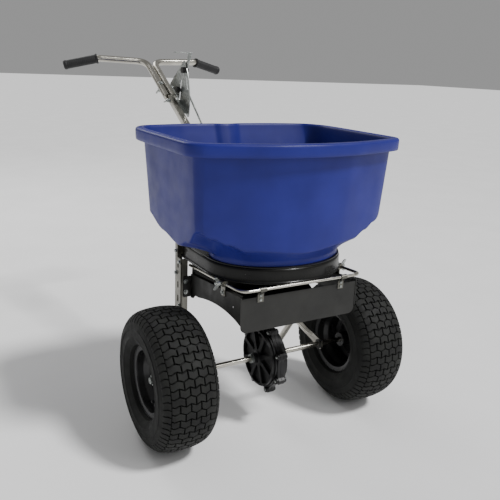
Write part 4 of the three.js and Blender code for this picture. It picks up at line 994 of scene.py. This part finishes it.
add("sleeve_tube", [sleeve()], BRIGHT, "chassis", nodes=["handle_sleeve"], sharp=40)
add("tongue_bar", [tongue()], BRUSHED, "handle", nodes=["handle_tongue"], sharp=40)
sleeve_nut = wing_nut(on_handle(SLEEVE_NUT_Y, -SLEEVE_HALF - 0.3), (-1, 0, 0), 1.2)
add("sleeve_nut", [sleeve_nut], ZINC, "chassis", 0.3, ["sleeve_wing_nut"])
bar_nut = wing_nut(on_handle(BAR_NUT_Y, -BAR_X, -BAR_R - 0.3), -ACROSS, 0.3)
add("bar_nut", [bar_nut], ZINC, "handle", 0.3, ["upper_wing_nut"])
sleeve_bolts = [bolt(on_handle(y, SLEEVE_HALF), X_AXIS, 5, 3.6, 7) for y in (SLEEVE_NUT_Y, LOWER_BOLT_Y)]
add("sleeve_bolts", sleeve_bolts, ZINC, "chassis")
add("bar_bolt", [bolt(on_handle(BAR_NUT_Y, -BAR_X, BAR_R), ACROSS, 5.5, 4, 9)], ZINC, "handle")


# ---------------- gate control

# Places on the plate and the lever are (y, z).
PLATE_X, PLATE_SHEET, PIVOT, ROD_TOP, ROD_FOOT, WIRE_X = 27, 2.5, (630, 938), (647, 876), (190, 496.5), 41
LEVER_X, LEVER_SHEET, TAB_END_X, TAB_RISE = 30.5, 3, -24, 53
FLANGE_X, FLANGE_HALF = 19.2, 8.8
KNOB_AT = (666.5, 873)
BOSS = [(4, -12), (9, -12), (10, -10.5), (10, -0.3), (3.6, -0.3), (3.6, 7.6), (8, 7.6), (8, 11), (7, 12),
        (2, 12)]
plate_outline = ([(604, 786), (640, 806), (758, 876), (756, 890), (644, 966), (637, 968.5)]
                 + bezier((630, 964), (598, 924), (580, 870), (594, 796)) + [(597, 788)])
plate_holes = [slot((660, 903), (673, 843), 4.2), slot((617, 918), (609, 880), 3), circle(*PIVOT, 5),
               circle(735, 880, 3)]
flange_line = [on_handle(611.5, 0, -4), on_handle(680.5, 0, -4)]
flange = sweep(flange_line, lambda t: [(u + FLANGE_X, v) for u, v in box_section(FLANGE_HALF, 1.2, 0.5)])
control_plate = slab([plate_outline, *plate_holes], "x", PLATE_X, PLATE_SHEET)
add("control_plate", [control_plate, rings(flange)], ZINC, "chassis", 0.4, ["quadrant_plate"])
plate_bolts = [bolt((PLATE_X + PLATE_SHEET, y, z), X_AXIS, 5, 4, 7.5) for y, z in ((612, 800), (668, 830))]
add("plate_bolts", plate_bolts, BRIGHT, "chassis")


def lever():
    """The strap beside the plate, with a tab folded over at the top for the thumb."""
    (y, z), (rod_y, rod_top) = PIVOT, ROD_TOP
    top = z + TAB_RISE + LEVER_SHEET
    strap = rounded([(y - 10, z), (y - 42, z + 50), (y - 42, top), (y - 22, top), (y + 8, z + 8),
                     (rod_y + 10, rod_top + 2), (rod_y + 4, rod_top - 9), (rod_y - 9, rod_top - 6)], 3)
    plate = slab([strap, circle(y, z, 4.5), circle(*ROD_TOP, 6.2)], "x", LEVER_X, LEVER_SHEET)
    tab = rounded(rectangle(TAB_END_X, y - 42, LEVER_X + LEVER_SHEET, y - 22), 3)
    return joined([plate, slab([tab], "z", z + TAB_RISE, LEVER_SHEET)])


def knob():
    """A fluted clamp knob on a short bolt."""
    flutes = [polar(11 - 1.1 * (i % 2), 15 * i) for i in range(24)]
    head = slab([flutes], "x", PLATE_X - 15, 10)
    cap = disc((PLATE_X - 15, 0, 0), (-1, 0, 0), 7.5, 1, 24, 0.5)
    neck = disc((PLATE_X - 5, 0, 0), X_AXIS, 7, 4.7, 24)
    stud = disc((PLATE_X - 1, 0, 0), X_AXIS, 3.5, 5.4, 18, 0.6)
    return moved(joined([head, cap, neck, stud]), 0, *KNOB_AT)


add("gate_lever", [lever()], ZINC, "lever", 0.4, ["control_lever"])
add("pivot_bolt", [spindle(BOSS, (PLATE_X, *PIVOT), X_AXIS)], MATT, "chassis", nodes=["lever_pivot"])
add("stop_knob_head", [knob()], MATT, "stop", 0.5, ["stop_knob"])
wire = tube([(30, *ROD_TOP), (WIRE_X, *ROD_TOP), (WIRE_X, *ROD_FOOT)], 4, 3, 16)
add("gate_wire", [wire], ZINC, "gate", nodes=["gate_rod"])


# ---------------- stage, light, camera

# The camera's turns are in degrees, and its lens is in millimetres on a 36 mm sensor.
CAMERA_AT, CAMERA_LENS = (-839.7, -1335.3, 956.6), 44.51
CAMERA_YAW, CAMERA_PITCH, CAMERA_ROLL = 30.24, 16.48, 2.38
WORLD_STRENGTH = 0.32
FLOOR_HALF = 40


def floor():
    corners = [(x, y, 0) for x, y in rectangle(-FLOOR_HALF, -FLOOR_HALF, FLOOR_HALF, FLOOR_HALF)]
    mesh = bpy.data.meshes.new("floor")
    mesh.from_pydata(corners, [], [(0, 1, 2, 3)])
    shader = Shader("floor_paint", specular=0.2)
    shader.colour(shader.noise(3), (0.86, 0.86, 0.86), (0.90, 0.90, 0.90))
    shader.roughness(shader.noise(8), 0.7, 0.85)
    mesh.materials.append(shader.material)
    return placed("floor", mesh)


def aimed(name, lamp, place, target):
    obj = placed(name, lamp)
    obj.location = place
    obj.rotation_euler = (Vector(target) - Vector(place)).to_track_quat("-Z", "Y").to_euler()
    return obj


def sun(name, place, strength, spread):
    lamp = bpy.data.lights.new(name, "SUN")
    lamp.energy = strength
    lamp.angle = math.radians(spread)
    return aimed(name, lamp, place, (0, 0, 0))


def soft_light(name, place, target, size, power):
    lamp = bpy.data.lights.new(name, "AREA")
    lamp.shape = "DISK"
    lamp.size = size
    lamp.energy = power
    return aimed(name, lamp, place, target)


def camera():
    yaw, pitch, roll = math.radians(CAMERA_YAW), math.radians(CAMERA_PITCH), math.radians(CAMERA_ROLL)
    forward = Vector((math.sin(yaw) * math.cos(pitch), math.cos(yaw) * math.cos(pitch), -math.sin(pitch)))
    level = Vector((math.cos(yaw), -math.sin(yaw), 0))
    upward = level.cross(forward)
    tilted_level = level * math.cos(roll) + upward * math.sin(roll)
    tilted_up = upward * math.cos(roll) - level * math.sin(roll)
    lens = bpy.data.cameras.new("camera")
    lens.sensor_width = 36
    lens.lens = CAMERA_LENS
    lens.clip_end = 200
    obj = placed("camera", lens)
    aim = Matrix((tilted_level, tilted_up, -forward)).transposed().to_4x4()
    obj.matrix_world = Matrix.Translation(at(*CAMERA_AT)) @ aim
    return obj


floor()
sun("key", (1.9, -2.2, 3.9), 3.2, 10)
soft_light("front", (0.9, -2.6, 1.9), (0, -0.2, 0.4), 1.2, 12)
soft_light("back", (-0.8, 3.0, 3.0), (0, 0, 0.7), 2.0, 45)

world = bpy.data.worlds.new("studio")
world.use_nodes = True
world.node_tree.nodes["Background"].inputs["Color"].default_value = (1, 1, 1, 1)
world.node_tree.nodes["Background"].inputs["Strength"].default_value = WORLD_STRENGTH
bpy.context.scene.world = world
bpy.context.scene.camera = camera()
